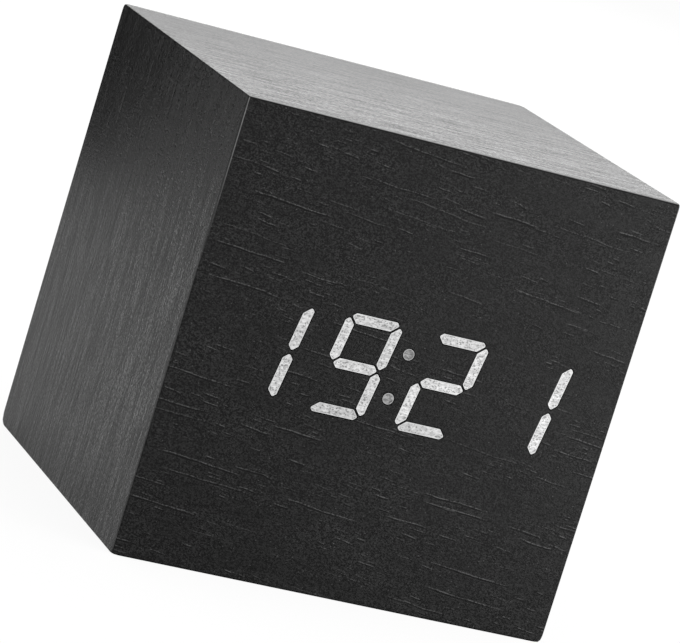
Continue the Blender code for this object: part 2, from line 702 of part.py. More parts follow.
def spring_mesh(name, z, end):
    """A conical battery spring that winds from its plate to the flat end of the cell."""
    plate = TRAY_HALF_WIDTH - SEAT_GAP - PLATE
    start = plate - SEAT_GAP - SPRING_WIRE_RADIUS
    rise = SPRING_LENGTH - 2 * SPRING_WIRE_RADIUS
    curve = bpy.data.curves.new(name, "CURVE")
    curve.dimensions = "3D"
    spline = curve.splines.new("POLY")
    steps = SPRING_TURNS * POINTS_PER_TURN
    spline.points.add(steps)
    for i in range(steps + 1):
        share = i / steps
        radius = SPRING_BASE_RADIUS + (SPRING_TIP_RADIUS - SPRING_BASE_RADIUS) * share
        turn = 2 * math.pi * SPRING_TURNS * share
        x = -end * (start - rise * share)
        spline.points[i].co = (x, CELL_Y + radius * math.cos(turn), z + radius * math.sin(turn), 1)
    curve.bevel_depth = SPRING_WIRE_RADIUS
    curve.bevel_resolution = 1
    curve.use_fill_caps = True
    carrier = bpy.data.objects.new(name, curve)
    mesh = bpy.data.meshes.new_from_object(carrier)
    bpy.data.objects.remove(carrier)
    bm = bmesh.new()
    bm.from_mesh(mesh)
    bmesh.ops.remove_doubles(bm, verts=bm.verts, dist=SPRING_WIRE_RADIUS / POINTS_PER_TURN)
    return mesh_of(bm)


def make_cells():
    """Three cells in series, with a spring at each flat end and plates that link them."""
    for name, z, end in cell_places():
        tip = end * (TRAY_HALF_WIDTH - PLATE - 2 * SEAT_GAP)
        shoulder = tip - end * NUB
        flat = tip - end * CELL_LENGTH
        profile = [
            (CELL_RADIUS - CELL_EDGE, flat),
            (CELL_RADIUS, flat + end * CELL_EDGE),
            (CELL_RADIUS, shoulder - end * CELL_EDGE),
            (CELL_RADIUS - CELL_EDGE, shoulder),
            (NUB_RADIUS, shoulder),
            (NUB_RADIUS, tip),
        ]
        piece(f"battery_{name}", CELL_WRAP, turned("X", (CELL_Y, z), profile))
        piece(f"spring_{name}", NICKEL, spring_mesh(f"spring_{name}", z, end))
    heights = [z for _, z, _ in cell_places()]
    lower, middle, upper = heights
    rows = {
        "left_lower": (-1, lower, lower),
        "left_upper": (-1, middle, upper),
        "right_lower": (1, lower, middle),
        "right_upper": (1, upper, upper),
    }
    for name, (side, low, high) in rows.items():
        wall = side * (TRAY_HALF_WIDTH - SEAT_GAP)
        ends = sorted((wall, wall - side * PLATE))
        depth = TRAY_FLOOR + SEAT_GAP, COVER_IN - SEAT_GAP
        height = low - PLATE_HEIGHT / 2, high + PLATE_HEIGHT / 2
        piece(f"contact_plate_{name}", NICKEL, block(ends, depth, height))


def make_buttons():
    """Three buttons, each over its switch. The switch's plunger moves with its button."""
    body_half = SWITCH_SIZE / 2
    plunger_top = SWITCH_BACK + PLUNGER_PROUD
    for name, x in button_places():
        place = (x, BUTTON_Z)
        flange = COVER_IN - SEAT_GAP
        profile = [
            (STEM_RADIUS, plunger_top + SEAT_GAP),
            (STEM_RADIUS, flange - FLANGE),
            (FLANGE_RADIUS, flange - FLANGE),
            (FLANGE_RADIUS, flange),
            (BUTTON_RADIUS, flange),
            (BUTTON_RADIUS, COVER_OUT + BUTTON_PROUD - BUTTON_EDGE),
            (BUTTON_RADIUS - BUTTON_EDGE, COVER_OUT + BUTTON_PROUD),
        ]
        origin = (x, COVER_OUT, BUTTON_Z)
        button = piece(f"button_{name}", BLACK_PLASTIC, turned("Y", place, profile), origin)
        body = block(about(x, body_half), (SWITCH_FRONT, SWITCH_BACK), about(BUTTON_Z, body_half))
        switch = piece(f"switch_body_{name}", SWITCH_PLASTIC, body)
        bore = SWITCH_BACK - PLUNGER_BORE, SWITCH_BACK + OVERRUN
        cut(switch, rod("Y", place, PLUNGER_RADIUS + PLUNGER_GAP, *bore, SMALL_SIDES))
        ends = SWITCH_BACK - PLUNGER_SUNK, plunger_top
        plunger = rod("Y", place, PLUNGER_RADIUS, *ends, SMALL_SIDES)
        piece(f"switch_plunger_{name}", SWITCH_PLASTIC, plunger, origin, button)


def on_board(place, size):
    """The ranges of a box-shaped component on the main board's front, placed from the board's middle."""
    back = MAIN_BOARD_FRONT - SEAT_GAP
    return about(place[0], size[0] / 2), (back - size[1], back), about(CENTRE + place[1], size[2] / 2)


def can(radius, length, place):
    """An upright round can on the main board's front."""
    back = MAIN_BOARD_FRONT - SEAT_GAP
    profile = [(radius, back), (radius, back - length + CAN_EDGE), (radius - CAN_EDGE, back - length)]
    return turned("Y", (place[0], CENTRE + place[1]), profile)


def make_electronics():
    """The main board and its components, the inlet and the microphone."""
    size = about(0, MAIN_BOARD_HALF_WIDTH), (MAIN_BOARD_FRONT, MAIN_BOARD_BACK)
    board = piece("main_board", CIRCUIT_BOARD, block(*size, (MAIN_BOARD_LOW, MAIN_BOARD_HIGH)))
    for place in POST_PLACES.values():
        ends = MAIN_BOARD_FRONT - OVERRUN, MAIN_BOARD_BACK + OVERRUN
        cut(board, rod("Y", place, BORE_RADIUS, *ends, SMALL_SIDES))
    piece("controller_chip", CHIP_BODY, block(*on_board(CHIP_PLACE, CHIP_SIZE)))
    x, y, z = on_board(CRYSTAL_PLACE, CRYSTAL_SIZE)
    radius = CRYSTAL_SIZE[2] * CRYSTAL_ROUND_SHARE
    piece("crystal", NICKEL, prism("Y", rounded_rectangle(x, z, radius), *y))
    piece("capacitor", CELL_WRAP, can(CAPACITOR_RADIUS, CAPACITOR_LENGTH, CAPACITOR_PLACE))
    buzzer = piece("buzzer", CHIP_BODY, can(BUZZER_RADIUS, BUZZER_LENGTH, BUZZER_PLACE))
    mouth = MAIN_BOARD_FRONT - SEAT_GAP - BUZZER_LENGTH
    centre = (BUZZER_PLACE[0], CENTRE + BUZZER_PLACE[1])
    cut(buzzer, rod("Y", centre, BUZZER_HOLE_RADIUS, mouth - OVERRUN, mouth + BUZZER_HOLE, SMALL_SIDES))

    shoulder = COVER_IN - SEAT_GAP
    mouth = COVER_OUT + INLET_PROUD
    profile = [(INLET_RADIUS, shoulder - INLET_LENGTH), (INLET_RADIUS, shoulder)]
    profile += [(INLET_NECK_RADIUS, shoulder), (INLET_NECK_RADIUS, mouth)]
    inlet = piece("dc_socket", BLACK_PLASTIC, turned("Y", (0, INLET_Z), profile))
    cut(inlet, rod("Y", (0, INLET_Z), INLET_BORE_RADIUS, mouth - INLET_BORE, mouth + OVERRUN))
    ends = mouth - INLET_BORE + SEAT_GAP, mouth - PIN_SUNK
    piece("dc_pin", NICKEL, rod("Y", (0, INLET_Z), PIN_RADIUS, *ends, SMALL_SIDES))
    ends = shoulder - MICROPHONE_LENGTH, shoulder
    piece("microphone", STEEL, rod("Y", (MICROPHONE_PLACE, INLET_Z), MICROPHONE_RADIUS, *ends))


def make_ribbon():
    """The flat cable from the display's board to the main board, in one sagging curve."""
    start, end = DISPLAY_BOARD_BACK + SEAT_GAP, MAIN_BOARD_FRONT - SEAT_GAP
    upper, lower = [], []
    for step in range(RIBBON_STEPS + 1):
        share = step / RIBBON_STEPS
        y = start + (end - start) * share
        climb = RIBBON_START + (RIBBON_END - RIBBON_START) * (1 - math.cos(math.pi * share)) / 2
        z = CENTRE + climb - RIBBON_SAG * math.sin(math.pi * share) ** 2
        upper.append((y, z + RIBBON / 2))
        lower.append((y, z - RIBBON / 2))
    outline = upper + lower[::-1]
    piece("ribbon_cable", RIBBON_JACKET, prism("X", outline, *about(0, RIBBON_WIDTH / 2)))


def main():
    for old in list(bpy.data.objects):
        bpy.data.objects.remove(old)
    make_case()
    make_display()
    make_rear_cover()
    make_door()
    make_cells()
    make_buttons()
    make_electronics()
    make_ribbon()
    make_screws()


main()
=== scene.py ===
"""The looks of a wooden alarm clock: black-stained veneer, digits that shine through, and a moulded back.
Metres, +Z up. The front faces -Y and the base stands at z = 0."""

import itertools
import json
import math
from types import SimpleNamespace

import bmesh
import bpy
from mathutils import Matrix, Vector

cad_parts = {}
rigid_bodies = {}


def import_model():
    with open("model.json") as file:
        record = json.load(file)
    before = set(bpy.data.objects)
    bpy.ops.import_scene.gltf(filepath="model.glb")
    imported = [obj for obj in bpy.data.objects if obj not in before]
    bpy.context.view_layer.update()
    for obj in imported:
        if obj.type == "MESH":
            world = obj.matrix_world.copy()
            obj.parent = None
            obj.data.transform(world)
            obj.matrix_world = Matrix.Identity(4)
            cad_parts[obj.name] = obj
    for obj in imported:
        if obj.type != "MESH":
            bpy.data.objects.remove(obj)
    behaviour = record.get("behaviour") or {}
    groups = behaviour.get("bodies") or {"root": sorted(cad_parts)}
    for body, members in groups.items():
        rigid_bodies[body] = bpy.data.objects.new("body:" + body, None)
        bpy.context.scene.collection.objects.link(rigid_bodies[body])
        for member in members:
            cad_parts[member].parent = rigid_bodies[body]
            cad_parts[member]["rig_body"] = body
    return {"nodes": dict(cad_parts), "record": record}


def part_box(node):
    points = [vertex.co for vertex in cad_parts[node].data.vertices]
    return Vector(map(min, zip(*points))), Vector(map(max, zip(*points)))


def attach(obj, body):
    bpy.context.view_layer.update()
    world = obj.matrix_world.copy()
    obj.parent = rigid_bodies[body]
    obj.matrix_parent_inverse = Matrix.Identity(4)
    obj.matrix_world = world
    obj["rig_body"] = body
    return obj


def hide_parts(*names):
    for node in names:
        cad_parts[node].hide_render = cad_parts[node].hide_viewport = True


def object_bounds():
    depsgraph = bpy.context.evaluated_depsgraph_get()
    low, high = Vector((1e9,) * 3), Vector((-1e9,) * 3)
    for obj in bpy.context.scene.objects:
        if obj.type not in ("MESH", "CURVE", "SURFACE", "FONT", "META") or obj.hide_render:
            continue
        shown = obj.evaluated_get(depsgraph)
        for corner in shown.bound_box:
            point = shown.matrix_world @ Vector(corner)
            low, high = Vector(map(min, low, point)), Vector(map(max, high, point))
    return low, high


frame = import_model()
CAD_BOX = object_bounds()

MM = 0.001
TINY = 0.001 * MM

# Photograph's camera, fitted to the corners of the case
IMAGE_WIDTH = 680
FOCAL_PIXELS = 4340.8
SENSOR = 36.0
VIEW_AZIMUTH = math.radians(-21.882)
VIEW_ELEVATION = math.radians(9.899)
VIEW_ROLL = math.radians(-17.113)
VIEW_DISTANCE = 600.92 * MM
VIEW_TARGET = Vector((1.559, -0.648, 31.421)) * MM

# Case, as the frame gives it
CASE_LOW, CASE_HIGH = CAD_BOX
MIDDLE = (CASE_LOW + CASE_HIGH) / 2
HALF = (CASE_HIGH - CASE_LOW) / 2
SHEET_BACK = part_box("front_veneer")[1].y
VENEER = SHEET_BACK - CASE_LOW.y
BOARD_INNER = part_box("top_board")[0].z - MIDDLE.z
BOARD_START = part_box("top_board")[0].y
SEAM = 0.01 * MM

# Sanding of the case's edges and corners
EDGE_RADIUS = 0.16 * MM
CORNER_REACH = 2.0
CORNER_RADII = {
    (-1, -1, -1): 0.55 * MM,
    (-1, -1, 1): 0.25 * MM,
    (-1, 1, -1): 0.9 * MM,
    (-1, 1, 1): 0.45 * MM,
    (1, -1, -1): 0.6 * MM,
    (1, -1, 1): 0.4 * MM,
    (1, 1, -1): 1.0 * MM,
    (1, 1, 1): 0.6 * MM,
}
GRID_STEPS = [step * MM for step in (0.05, 0.1, 0.15, 0.2, 0.35, 0.55, 0.8, 1.1, 1.5, 2.0, 2.7, 3.6)]
BOARD_BEVEL = 0.25 * MM
SHARP_ANGLE = math.radians(30)

# Display, in the plane of the face and before the slant
TIME_SHOWN = "1921"
LIT_SEGMENTS = {"1": "bc", "2": "abdeg", "9": "abcdfg"}
DIGIT_NODES = [f"digit_guide_{place}" for place in ("left", "middle_left", "middle_right", "right")]
DIGIT_HEIGHT = 14.2 * MM
DIGIT_WIDTH = 8.3 * MM
DIGIT_PITCH = 12.7 * MM
STROKE = 1.5 * MM
MITRE_GAP = 0.21 * MM
CORNER_CUT = 1.17 * MM
SLANT_SHARE = 0.148
DISPLAY_OFFSET = Vector((-0.16, 0.09)) * MM
DOT_RADIUS = 0.84 * MM
DOT_HEIGHT = 3.2 * MM
DOT_SIDES = 64
WELL_DEPTH = 1.8 * MM
GUIDE_MARGIN = 0.25 * MM
TIP_RADIUS = 0.22 * MM
RIM_WIDTH = 0.15 * MM
FILLING_INSET = 0.065 * MM
WINDOW_GAP = 0.08 * MM
FACE_DEPTH = 0.02 * MM

# Brightness of a segment and a dot, the dimmer segments' shares, and the rise from left to right
GLOW = 0.7
GLOW_DOTS = 0.33
GLOW_SHARES = {"a": 0.92, "d": 0.84}
GLOW_DRIFT = 0.13

# Pieces at the back, at the places that the frame gives
COVER_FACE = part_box("rear_cover")[1].y
COVER_PLATE = 2.0 * MM
SEAT_GAP = 0.3 * MM
AXIS_RADIUS = 0.01 * MM
ROUND_SIDES = 48
MOULDED_ANGLE = math.radians(40)
EASED_SHARE_AT_MOST = 0.45
COVER_EASE = 0.15 * MM
DOOR_EASE = 0.12 * MM
CONTACT_EASE = 0.06 * MM
BUTTON_RADIUS = 2.3 * MM
BUTTON_STEM = 1.5 * MM
BUTTON_FLANGE = 1.0 * MM
BUTTON_DISH = 1.8 * MM
BUTTON_DISH_DEPTH = 0.14 * MM
BUTTON_EASE = 0.25 * MM
MARK_SIZE = 0.8 * MM
MARK_HEIGHT = 0.1 * MM
MARK_STROKE = 0.26 * MM
ARROW_SHARES = ((0, 1.0), (-0.95, -0.65), (0.95, -0.65))
SCREW_SHANK = 0.9 * MM
SCREW_TIP_SHARE = 0.4
SCREW_SEAT = 0.7 * MM
SCREW_RIM = 0.45 * MM
DOME_STEPS = 8
CROSS_ARM = 1.2 * MM
CROSS_HALF_WIDTH = 0.36 * MM
CROSS_DEPTH = 0.8 * MM
CROSS_TAPER_SHARE = 0.45
CELL_NUB = 0.8 * MM
CELL_NUB_RADIUS = 1.9 * MM
CELL_FILM = 0.9 * MM
CELL_GROOVE = 0.2 * MM
CELL_EASE = 0.18 * MM
CELL_NUBS = {"battery_lower": 1, "battery_middle": -1, "battery_upper": 1}
SPRING_WIRE = 0.25 * MM
SPRING_BASE = 3.0 * MM
SPRING_TIP = 1.6 * MM
SPRING_TURNS = 2.5
SPRING_POINTS = 90
SPRING_CLIMB_SHARES = (0.2, 0.85)
INLET_NECK = 2.6 * MM
INLET_BORE = 1.8 * MM
INLET_DEPTH = 7.5 * MM
INLET_CHAMFER = 0.25 * MM
INLET_EASE = 0.12 * MM
PIN_EASE_SHARE = 0.5

# Usual range of a noise pattern
NOISE_RANGE = (0.3, 0.7)

# Moulded finishes: colour, roughness, and the depth of their grain
PLASTICS = {
    "black_plastic": ((0.014, 0.014, 0.015), 0.5, 0.01 * MM),
    "button_plastic": ((0.03, 0.03, 0.032), 0.4, 0.005 * MM),
    "switch_plastic": ((0.02, 0.02, 0.02), 0.35, 0.004 * MM),
    "chip": ((0.02, 0.02, 0.022), 0.55, 0.01 * MM),
    "cell_wrap": ((0.03, 0.09, 0.2), 0.25, 0.002 * MM),
    "mark_paint": ((0.55, 0.55, 0.55), 0.6, 0.01 * MM),
}

# Plated finishes: colour and roughness
METALS = {
    "steel": ((0.5, 0.5, 0.5), 0.35),
    "nickel": ((0.62, 0.6, 0.56), 0.25),
}

# Front sheet. Sizes and reaches are in millimetres, depths in hundredths of one, and a seed picks a pattern
FRONT_LOOK = dict(
    seed=1.0,
    roughness=0.42,
    polish=0.0,
    # How strongly the sheet reflects. It differs from sheet to sheet to set each face's brightness under
    # the lamps: the three veneers are lit and shaded copies of one finish
    level=0.127,
    stain=0.0096,
    # Painted light towards the front; 1 gives none
    front_stain=1.0,
    darkest=0.0004,
    fibre_size=(3.5, 0.16, 0.5),
    fibre=0.15,
    fibre_gloss=0.0,
    band_gloss=0.04,
    grit_gloss=0.06,
    back_share=0.4,
    fibre_depth=0.3,
    band_size=(14.0, 1.2, 3.0),
    band=0.12,
    band_depth=0.5,
    grit_size=(0.24, 0.2, 0.2),
    grit=1.8,
    grit_depth=7.6,
    # Brightness of the painted glints
    spark=0.06,
    # Brightness of the pores' painted highlight
    light=0.067,
    # Rubbed stain with a painted highlight, on the upright edges and round the top
    side_wear=0.3,
    top_wear=0.3,
    front_reach=2.0,
    side_reach=0.1,
    edge_gloss=0.3,
    streak=1.0,
    long_share=0.4,
    short_share=0.5,
    slope=0.09,
    pore_depth=3.0,
)

# Top and base, which show their sheets at a flat angle
LEVEL_LOOK = dict(
    FRONT_LOOK,
    seed=40.0,
    roughness=0.47,
    polish=0.07,
    # Stronger reflection than the front's: a lit copy of the same veneer
    level=0.23,
    stain=0.03,
    fibre=0.8,
    band=0.5,
    # Rubbed rim with a painted highlight
    top_wear=0.12,
    front_reach=1.1,
    side_reach=0.35,
    edge_gloss=0.0,
    fibre_size=(3.6, 0.7, 0.7),
    fibre_depth=8.0,
    fibre_gloss=0.06,
    band_gloss=0.06,
    grit_gloss=0.08,
    back_share=0.3,
    grit_size=(0.5, 0.5, 0.5),
    grit_depth=8.0,
    streak=2.2,
    slope=0.02,
    pore_depth=7.0,
)

# Left and right sides, with upright grain
UPRIGHT_LOOK = dict(
    FRONT_LOOK,
    seed=80.0,
    roughness=0.46,
    polish=0.06,
    # Stronger reflection than the front's: a lit copy of the same veneer
    level=0.33,
    stain=0.0095,
    # Stain lighter towards the front: painted light
    front_stain=1.5,
    fibre=0.4,
    band=0.45,
    fibre_size=(4.0, 0.5, 0.5),
    fibre_depth=8.0,
    fibre_gloss=0.1,
    band_gloss=0.12,
    band_size=(7.0, 0.9, 3.0),
    band_depth=12.0,
    edge_gloss=0.0,
    grit_size=(0.42, 0.42, 0.42),
    grit_depth=24.0,
    grit_gloss=0.2,
    streak=1.8,
    slope=0.0,
)

# Long and short open pores: length, spacing and width in millimetres
LONG_PORES = (14.0, 1.1, 0.17)
SHORT_PORES = (3.2, 0.6, 0.16)

# Millimetres in from the top or base over which the rubbed edge with its painted highlight ends, and over
# which the painted shade line gives way to the stain's own colour, and the share of the height above which
# edges are rubbed and carry a painted highlight
RUBBED_AND_HIGHLIT_DEPTHS = (0.03, 0.09)
SHADE_LINE_DEPTHS = (0.1, 0.3)
WEAR_AND_HIGHLIGHT_START_SHARE = 0.6

# Ribbon cable's pitch in millimetres
RIBBON_PITCH = 1.27

# Floor: reach, colour, glow, and how much of the glow the camera and reflections see
FLOOR_REACH = 3.0
FLOOR_COLOUR = 0.8
FLOOR_GLOW = 1.06
FLOOR_SEEN_SHARE = 0.85
FLOOR_REFLECTED_SHARE = 0.4

# World: the light that it gives, and the backdrop that the camera and reflections see
STUDIO_STRENGTH = 0.55
BACKDROP_STRENGTH = 1.0

# Lamps: place, width, height, and how bright the lamp's own surface is
LAMPS = {
    "top softbox": ((0.1, -0.1, 0.9), 0.7, 0.7, 2.0),
    "back softbox": ((0.34, 0.74, 0.44), 0.5, 0.5, 2.45),
    "side softbox": ((0.125, -0.15, 0.032), 0.1, 0.05, 8.3),
}

# Dark card: its two ends in plan, its lowest height at each, its top, and its colour
CARD_ENDS = ((-0.033, 0.1), (-0.105, 0.065))
CARD_LOWS = (0.025, 0.039)
CARD_TOP = 0.4
CARD_COLOUR = 0.09


def new_object(name, data):
    made = bpy.data.objects.new(name, data)
    bpy.context.scene.collection.objects.link(made)
    return made


def mesh_object(name, bm):
    mesh = bpy.data.meshes.new(name)
    bm.to_mesh(mesh)
    bm.free()
    return new_object(name, mesh)


def finished(name, bm, body, node, sharp_angle=SHARP_ANGLE):
    """A piece from its mesh, which rides on a body and stands for a CAD node."""
    bmesh.ops.recalc_face_normals(bm, faces=bm.faces)
    made = mesh_object(name, bm)
    made.data.shade_smooth()
    made.data.set_sharp_from_angle(angle=sharp_angle)
    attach(made, body)
    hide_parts(node)
    return made


# Materials


def set_inputs(node, values):
    for key, value in values.items():
        if isinstance(value, bpy.types.NodeSocket):
            node.id_data.links.new(value, node.inputs[key])
        else:
            node.inputs[key].default_value = value


def add(kind, inputs, tree=None, **settings):
    """A shader node, in the given tree or in the one that its inputs come from."""
    sources = [value for value in inputs.values() if isinstance(value, bpy.types.NodeSocket)]
    made = (tree or sources[0].id_data).nodes.new("ShaderNode" + kind)
    for key, value in settings.items():
        setattr(made, key, value)
    set_inputs(made, inputs)
    return made


def calc(operation, *values):
    inputs = dict(enumerate(values))
    return add("Math", inputs, operation=operation).outputs[0]


def fade(value, low, high, start=0.0, end=1.0):
    """A smooth step of the value from low to high, given as start to end."""
    inputs = {"Value": value, "From Min": low, "From Max": high, "To Min": start, "To Max": end}
    return add("MapRange", inputs, interpolation_type="SMOOTHSTEP").outputs["Result"]


def swing(pattern, middle, amount):
    """A noise pattern as a level that swings about a middle by an amount."""
    return fade(pattern, *NOISE_RANGE, middle - amount, middle + amount)


def product(first, *others):
    for other in others:
        first = calc("MULTIPLY", first, other)
    return first


def total(first, *others):
    for other in others:
        first = calc("ADD", first, other)
    return first


def mixed(share, first, second):
    inputs = {0: share, 6: first, 7: second}
    return add("Mix", inputs, data_type="RGBA").outputs[2]


def grey(level):
    return (level, level, level, 1)


def vector(x, y, z=0.0):
    return add("CombineXYZ", {"X": x, "Y": y, "Z": z}).outputs[0]


def millimetres(shader):
    """The place on the piece, as X, Y and Z in millimetres."""
    place = add("TexCoord", {}, shader.id_data).outputs["Object"]
    scaled = add("VectorMath", {0: place, "Scale": 1 / MM}, operation="SCALE").outputs[0]
    return add("SeparateXYZ", {0: scaled}).outputs


def tinted(colour, level):
    return add("VectorMath", {0: colour, "Scale": level}, operation="SCALE").outputs[0]


def stretched(place, sizes, shift=0.0):
    """Pattern coordinates with features of the given sizes in millimetres along each direction."""
    scaled = [calc("DIVIDE", part, size) for part, size in zip(place, sizes)]
    scaled[0] = calc("ADD", scaled[0], shift)
    return vector(*scaled)


def noise(place, sizes, shift=0.0, detail=2.0, roughness=0.5):
    place = stretched(place, sizes, shift)
    inputs = {"Vector": place, "Scale": 1.0, "Detail": detail, "Roughness": roughness}
    return add("TexNoise", inputs).outputs["Fac"]


def new_material(name, roughness=0.5, metallic=0.0, level=0.5):
    made = bpy.data.materials.new(name)
    made.use_nodes = True
    shader = made.node_tree.nodes["Principled BSDF"]
    set_inputs(shader, {"Roughness": roughness, "Metallic": metallic, "Specular IOR Level": level})
    return made, shader


def relief(shader, height, depth):
    """Raises the surface by the height, times a depth in metres."""
    bump = add("Bump", {"Height": height, "Distance": depth, "Strength": 1.0})
    set_inputs(shader, {"Normal": bump.outputs[0]})


def streaks(u, v, seed, sizes, thick, share, slope):
    """Short thin lines along u, as their narrow light side and their wider dark side: a painted highlight
    and a painted shadow beside each pore.
    """
    length, spacing, width = sizes[0], sizes[1] * thick, sizes[2] * thick
    wander = noise((u, v), (7.0, 4.0), seed)
    bent = product(calc("SUBTRACT", wander, 0.5), 0.9)
    line = total(v, product(u, slope), bent)
    cell = 1.5 * length
    x = total(calc("DIVIDE", u, cell), seed)
    y = calc("DIVIDE", line, spacing)
    inputs = {"Vector": vector(x, y), "Scale": 1.0, "Randomness": 1.0}
    cells = add("TexVoronoi", inputs, voronoi_dimensions="2D")
    found = add("SeparateXYZ", {0: cells.outputs["Position"]}).outputs
    chance = add("SeparateColor", {0: cells.outputs["Color"]}).outputs
    along = calc("ABSOLUTE", product(calc("SUBTRACT", x, found[0]), cell))
    across = product(calc("SUBTRACT", y, found[1]), spacing)
    reach = fade(chance[0], 0.0, 1.0, 0.15 * length, 0.5 * length)
    inside = fade(calc("DIVIDE", along, reach), 0.55, 1.0, 1.0, 0.0)
    chosen = calc("LESS_THAN", chance[1], share)
    strength = product(inside, chosen, fade(chance[2], 0.0, 1.0, 0.35, 1.0))
    sides = []
    for side, spread in ((0.5, width), (-0.8, 1.6 * width)):
        off = calc("ABSOLUTE", calc("SUBTRACT", across, side * width))
        sides.append(product(strength, fade(off, 0.15 * spread, 0.6 * spread, 1.0, 0.0)))
    return sides


def edge_depths(place):
    """How far the place lies in from the case's sides, its front or back, and its top or base."""
    depths = []
    for part, middle, half in zip(place, MIDDLE, HALF):
        off = calc("ABSOLUTE", calc("SUBTRACT", part, middle / MM))
        depths.append(calc("SUBTRACT", half / MM, off))
    return depths


def edge_wear_and_highlight(first, second, reach):
    """One along the edge between two faces, where the stain is rubbed thin and a highlight is painted, and
    zero away from it.
    """
    return fade(calc("MAXIMUM", first, second), 0.3 * reach, reach, 1.0, 0.0)


def from_front(y, at_front, at_back):
    """A value that changes smoothly from the case's front to its back."""
    return fade(y, CASE_LOW.y / MM, CASE_HIGH.y / MM, at_front, at_back)


def sheet_patterns(along, look):
    """A sheet's noise patterns. along holds the place along the grain, across it and inwards."""
    return SimpleNamespace(
        fibres=noise(along, look.fibre_size, look.seed, 4.0, 0.6),
        bands=noise(along, look.band_size, look.seed + 5, 3.0),
        clouds=noise(along, (16.0, 9.0, 9.0), look.seed + 9),
        grit=noise(along, look.grit_size, look.seed + 3, 3.0, 0.6),
        patches=noise(along, (6.0, 3.0, 4.0), look.seed + 7),
        # Where the painted glints fall
        painted_glint_specks=noise(along, (0.3, 0.25, 0.25), look.seed + 17, 0.0),
    )


def pore_lines(along, look, patterns):
    """The open pores, long and short, as their light side and their dark side, which are a painted
    highlight and a painted shadow.
    """
    u, v = along[:2]
    thick, slope = look.streak, look.slope
    wide = streaks(u, v, look.seed + 13, LONG_PORES, thick, look.long_share, slope)
    short = streaks(u, v, look.seed + 29, SHORT_PORES, thick, look.short_share, 1.4 * slope)
    broken = fade(patterns.grit, 0.38, 0.6, 0.25, 1.15)
    grouped = fade(patterns.patches, 0.42, 0.6, 0.12, 1.0)
    light = calc("MAXIMUM", wide[0], product(short[0], grouped))
    dark = calc("MAXIMUM", wide[1], product(short[1], grouped))
    return product(light, broken), dark


def stain_level(y, look, patterns, light, dark):
    """How light the stained wood is, before its edges are rubbed. It holds painted glints, a painted
    highlight and shadow at each pore, and on the sides painted light towards the front.
    """
    # Grit speckle: tone that differs at random, and in part painted glints of the open grain
    speckle_and_glints = calc("SUBTRACT", fade(patterns.grit, 0.34, 0.66, 0.0, 2.0), 1.0)
    amount = fade(patterns.patches, 0.35, 0.65, 0.6 * look.grit, look.grit)
    level = product(
        swing(patterns.fibres, 1, look.fibre),
        swing(patterns.bands, 1, look.band),
        swing(patterns.clouds, 1, 0.1),
        calc("MULTIPLY_ADD", speckle_and_glints, amount, 1.0),
        # Where the look asks, lighter towards the front: painted light
        from_front(y, look.stain * look.front_stain, look.stain),
    )
    # Bright specks: painted glints
    level = total(level, fade(patterns.painted_glint_specks, 0.76, 0.84, 0.0, look.spark))
    # Pores' dark side: painted shadow
    level = product(level, fade(dark, 0.0, 1.0, 1.0, 0.1))
    # Pores' light side: painted highlight
    level = total(level, product(light, look.light))
    return calc("MAXIMUM", level, look.darkest)


def level_with_wear_and_painted_light(place, level, look, bands):
    """The stain's level with its worn edges, which also carry a painted highlight along the upright edges
    and round the top's rim, in the upper part of the case. Near the top and the base the stain's tone fades
    to black, a painted shade line along those edges, so the top and the base show gloss, wear and painted
    highlight alone.
    """
    x_depth, y_depth, z_depth = edge_depths(place)
    # Upright edges: rubbed stain and a painted highlight
    upright = product(edge_wear_and_highlight(x_depth, y_depth, EDGE_RADIUS / MM), look.side_wear)
    across = edge_wear_and_highlight(y_depth, z_depth, look.front_reach)
    beside = edge_wear_and_highlight(x_depth, z_depth, look.side_reach)
    # Rim of the top: rubbed stain and a painted highlight, wider along the front
    on_top = fade(z_depth, *RUBBED_AND_HIGHLIT_DEPTHS, look.top_wear, 0.0)
    on_top = product(calc("MAXIMUM", across, beside), on_top)
    # Only in the upper part of the height, where the painted highlight falls
    high_up = fade(place[2], WEAR_AND_HIGHLIGHT_START_SHARE * CASE_HIGH.z / MM, CASE_HIGH.z / MM)
    worn = product(calc("MAXIMUM", upright, on_top), swing(bands, 0.85, 0.15), high_up)
    # Near the top and base the stain's tone fades to black: a painted shade line along those edges
    return total(product(level, fade(z_depth, *SHADE_LINE_DEPTHS)), worn)


def gloss_level(place, look, patterns, near):
    """The roughness, which follows the grain, and less so towards the back."""
    varied = total(
        fade(patterns.grit, 0.35, 0.65, -look.grit_gloss, look.grit_gloss),
        -look.polish,
        swing(patterns.fibres, 0, look.fibre_gloss),
        swing(patterns.bands, 0, look.band_gloss),
    )
    z_depth = edge_depths(place)[2]
    # Rougher over the same painted shade line
    on_edge = fade(z_depth, *SHADE_LINE_DEPTHS, look.edge_gloss, 0.0)
    return total(calc("MULTIPLY_ADD", varied, near, look.roughness), on_edge)


def grain_height(look, patterns, dark, near):
    """The relief of the fibres, the grit, the pores and the bands."""
    grain = product(patterns.grit, fade(patterns.patches, 0.35, 0.65, 0.6, 1.0))
    fine = product(patterns.fibres, look.fibre_depth)
    fine = total(fine, product(grain, look.grit_depth))
    fine = calc("SUBTRACT", fine, product(dark, look.pore_depth))
    return total(product(fine, near), product(patterns.bands, look.band_depth))


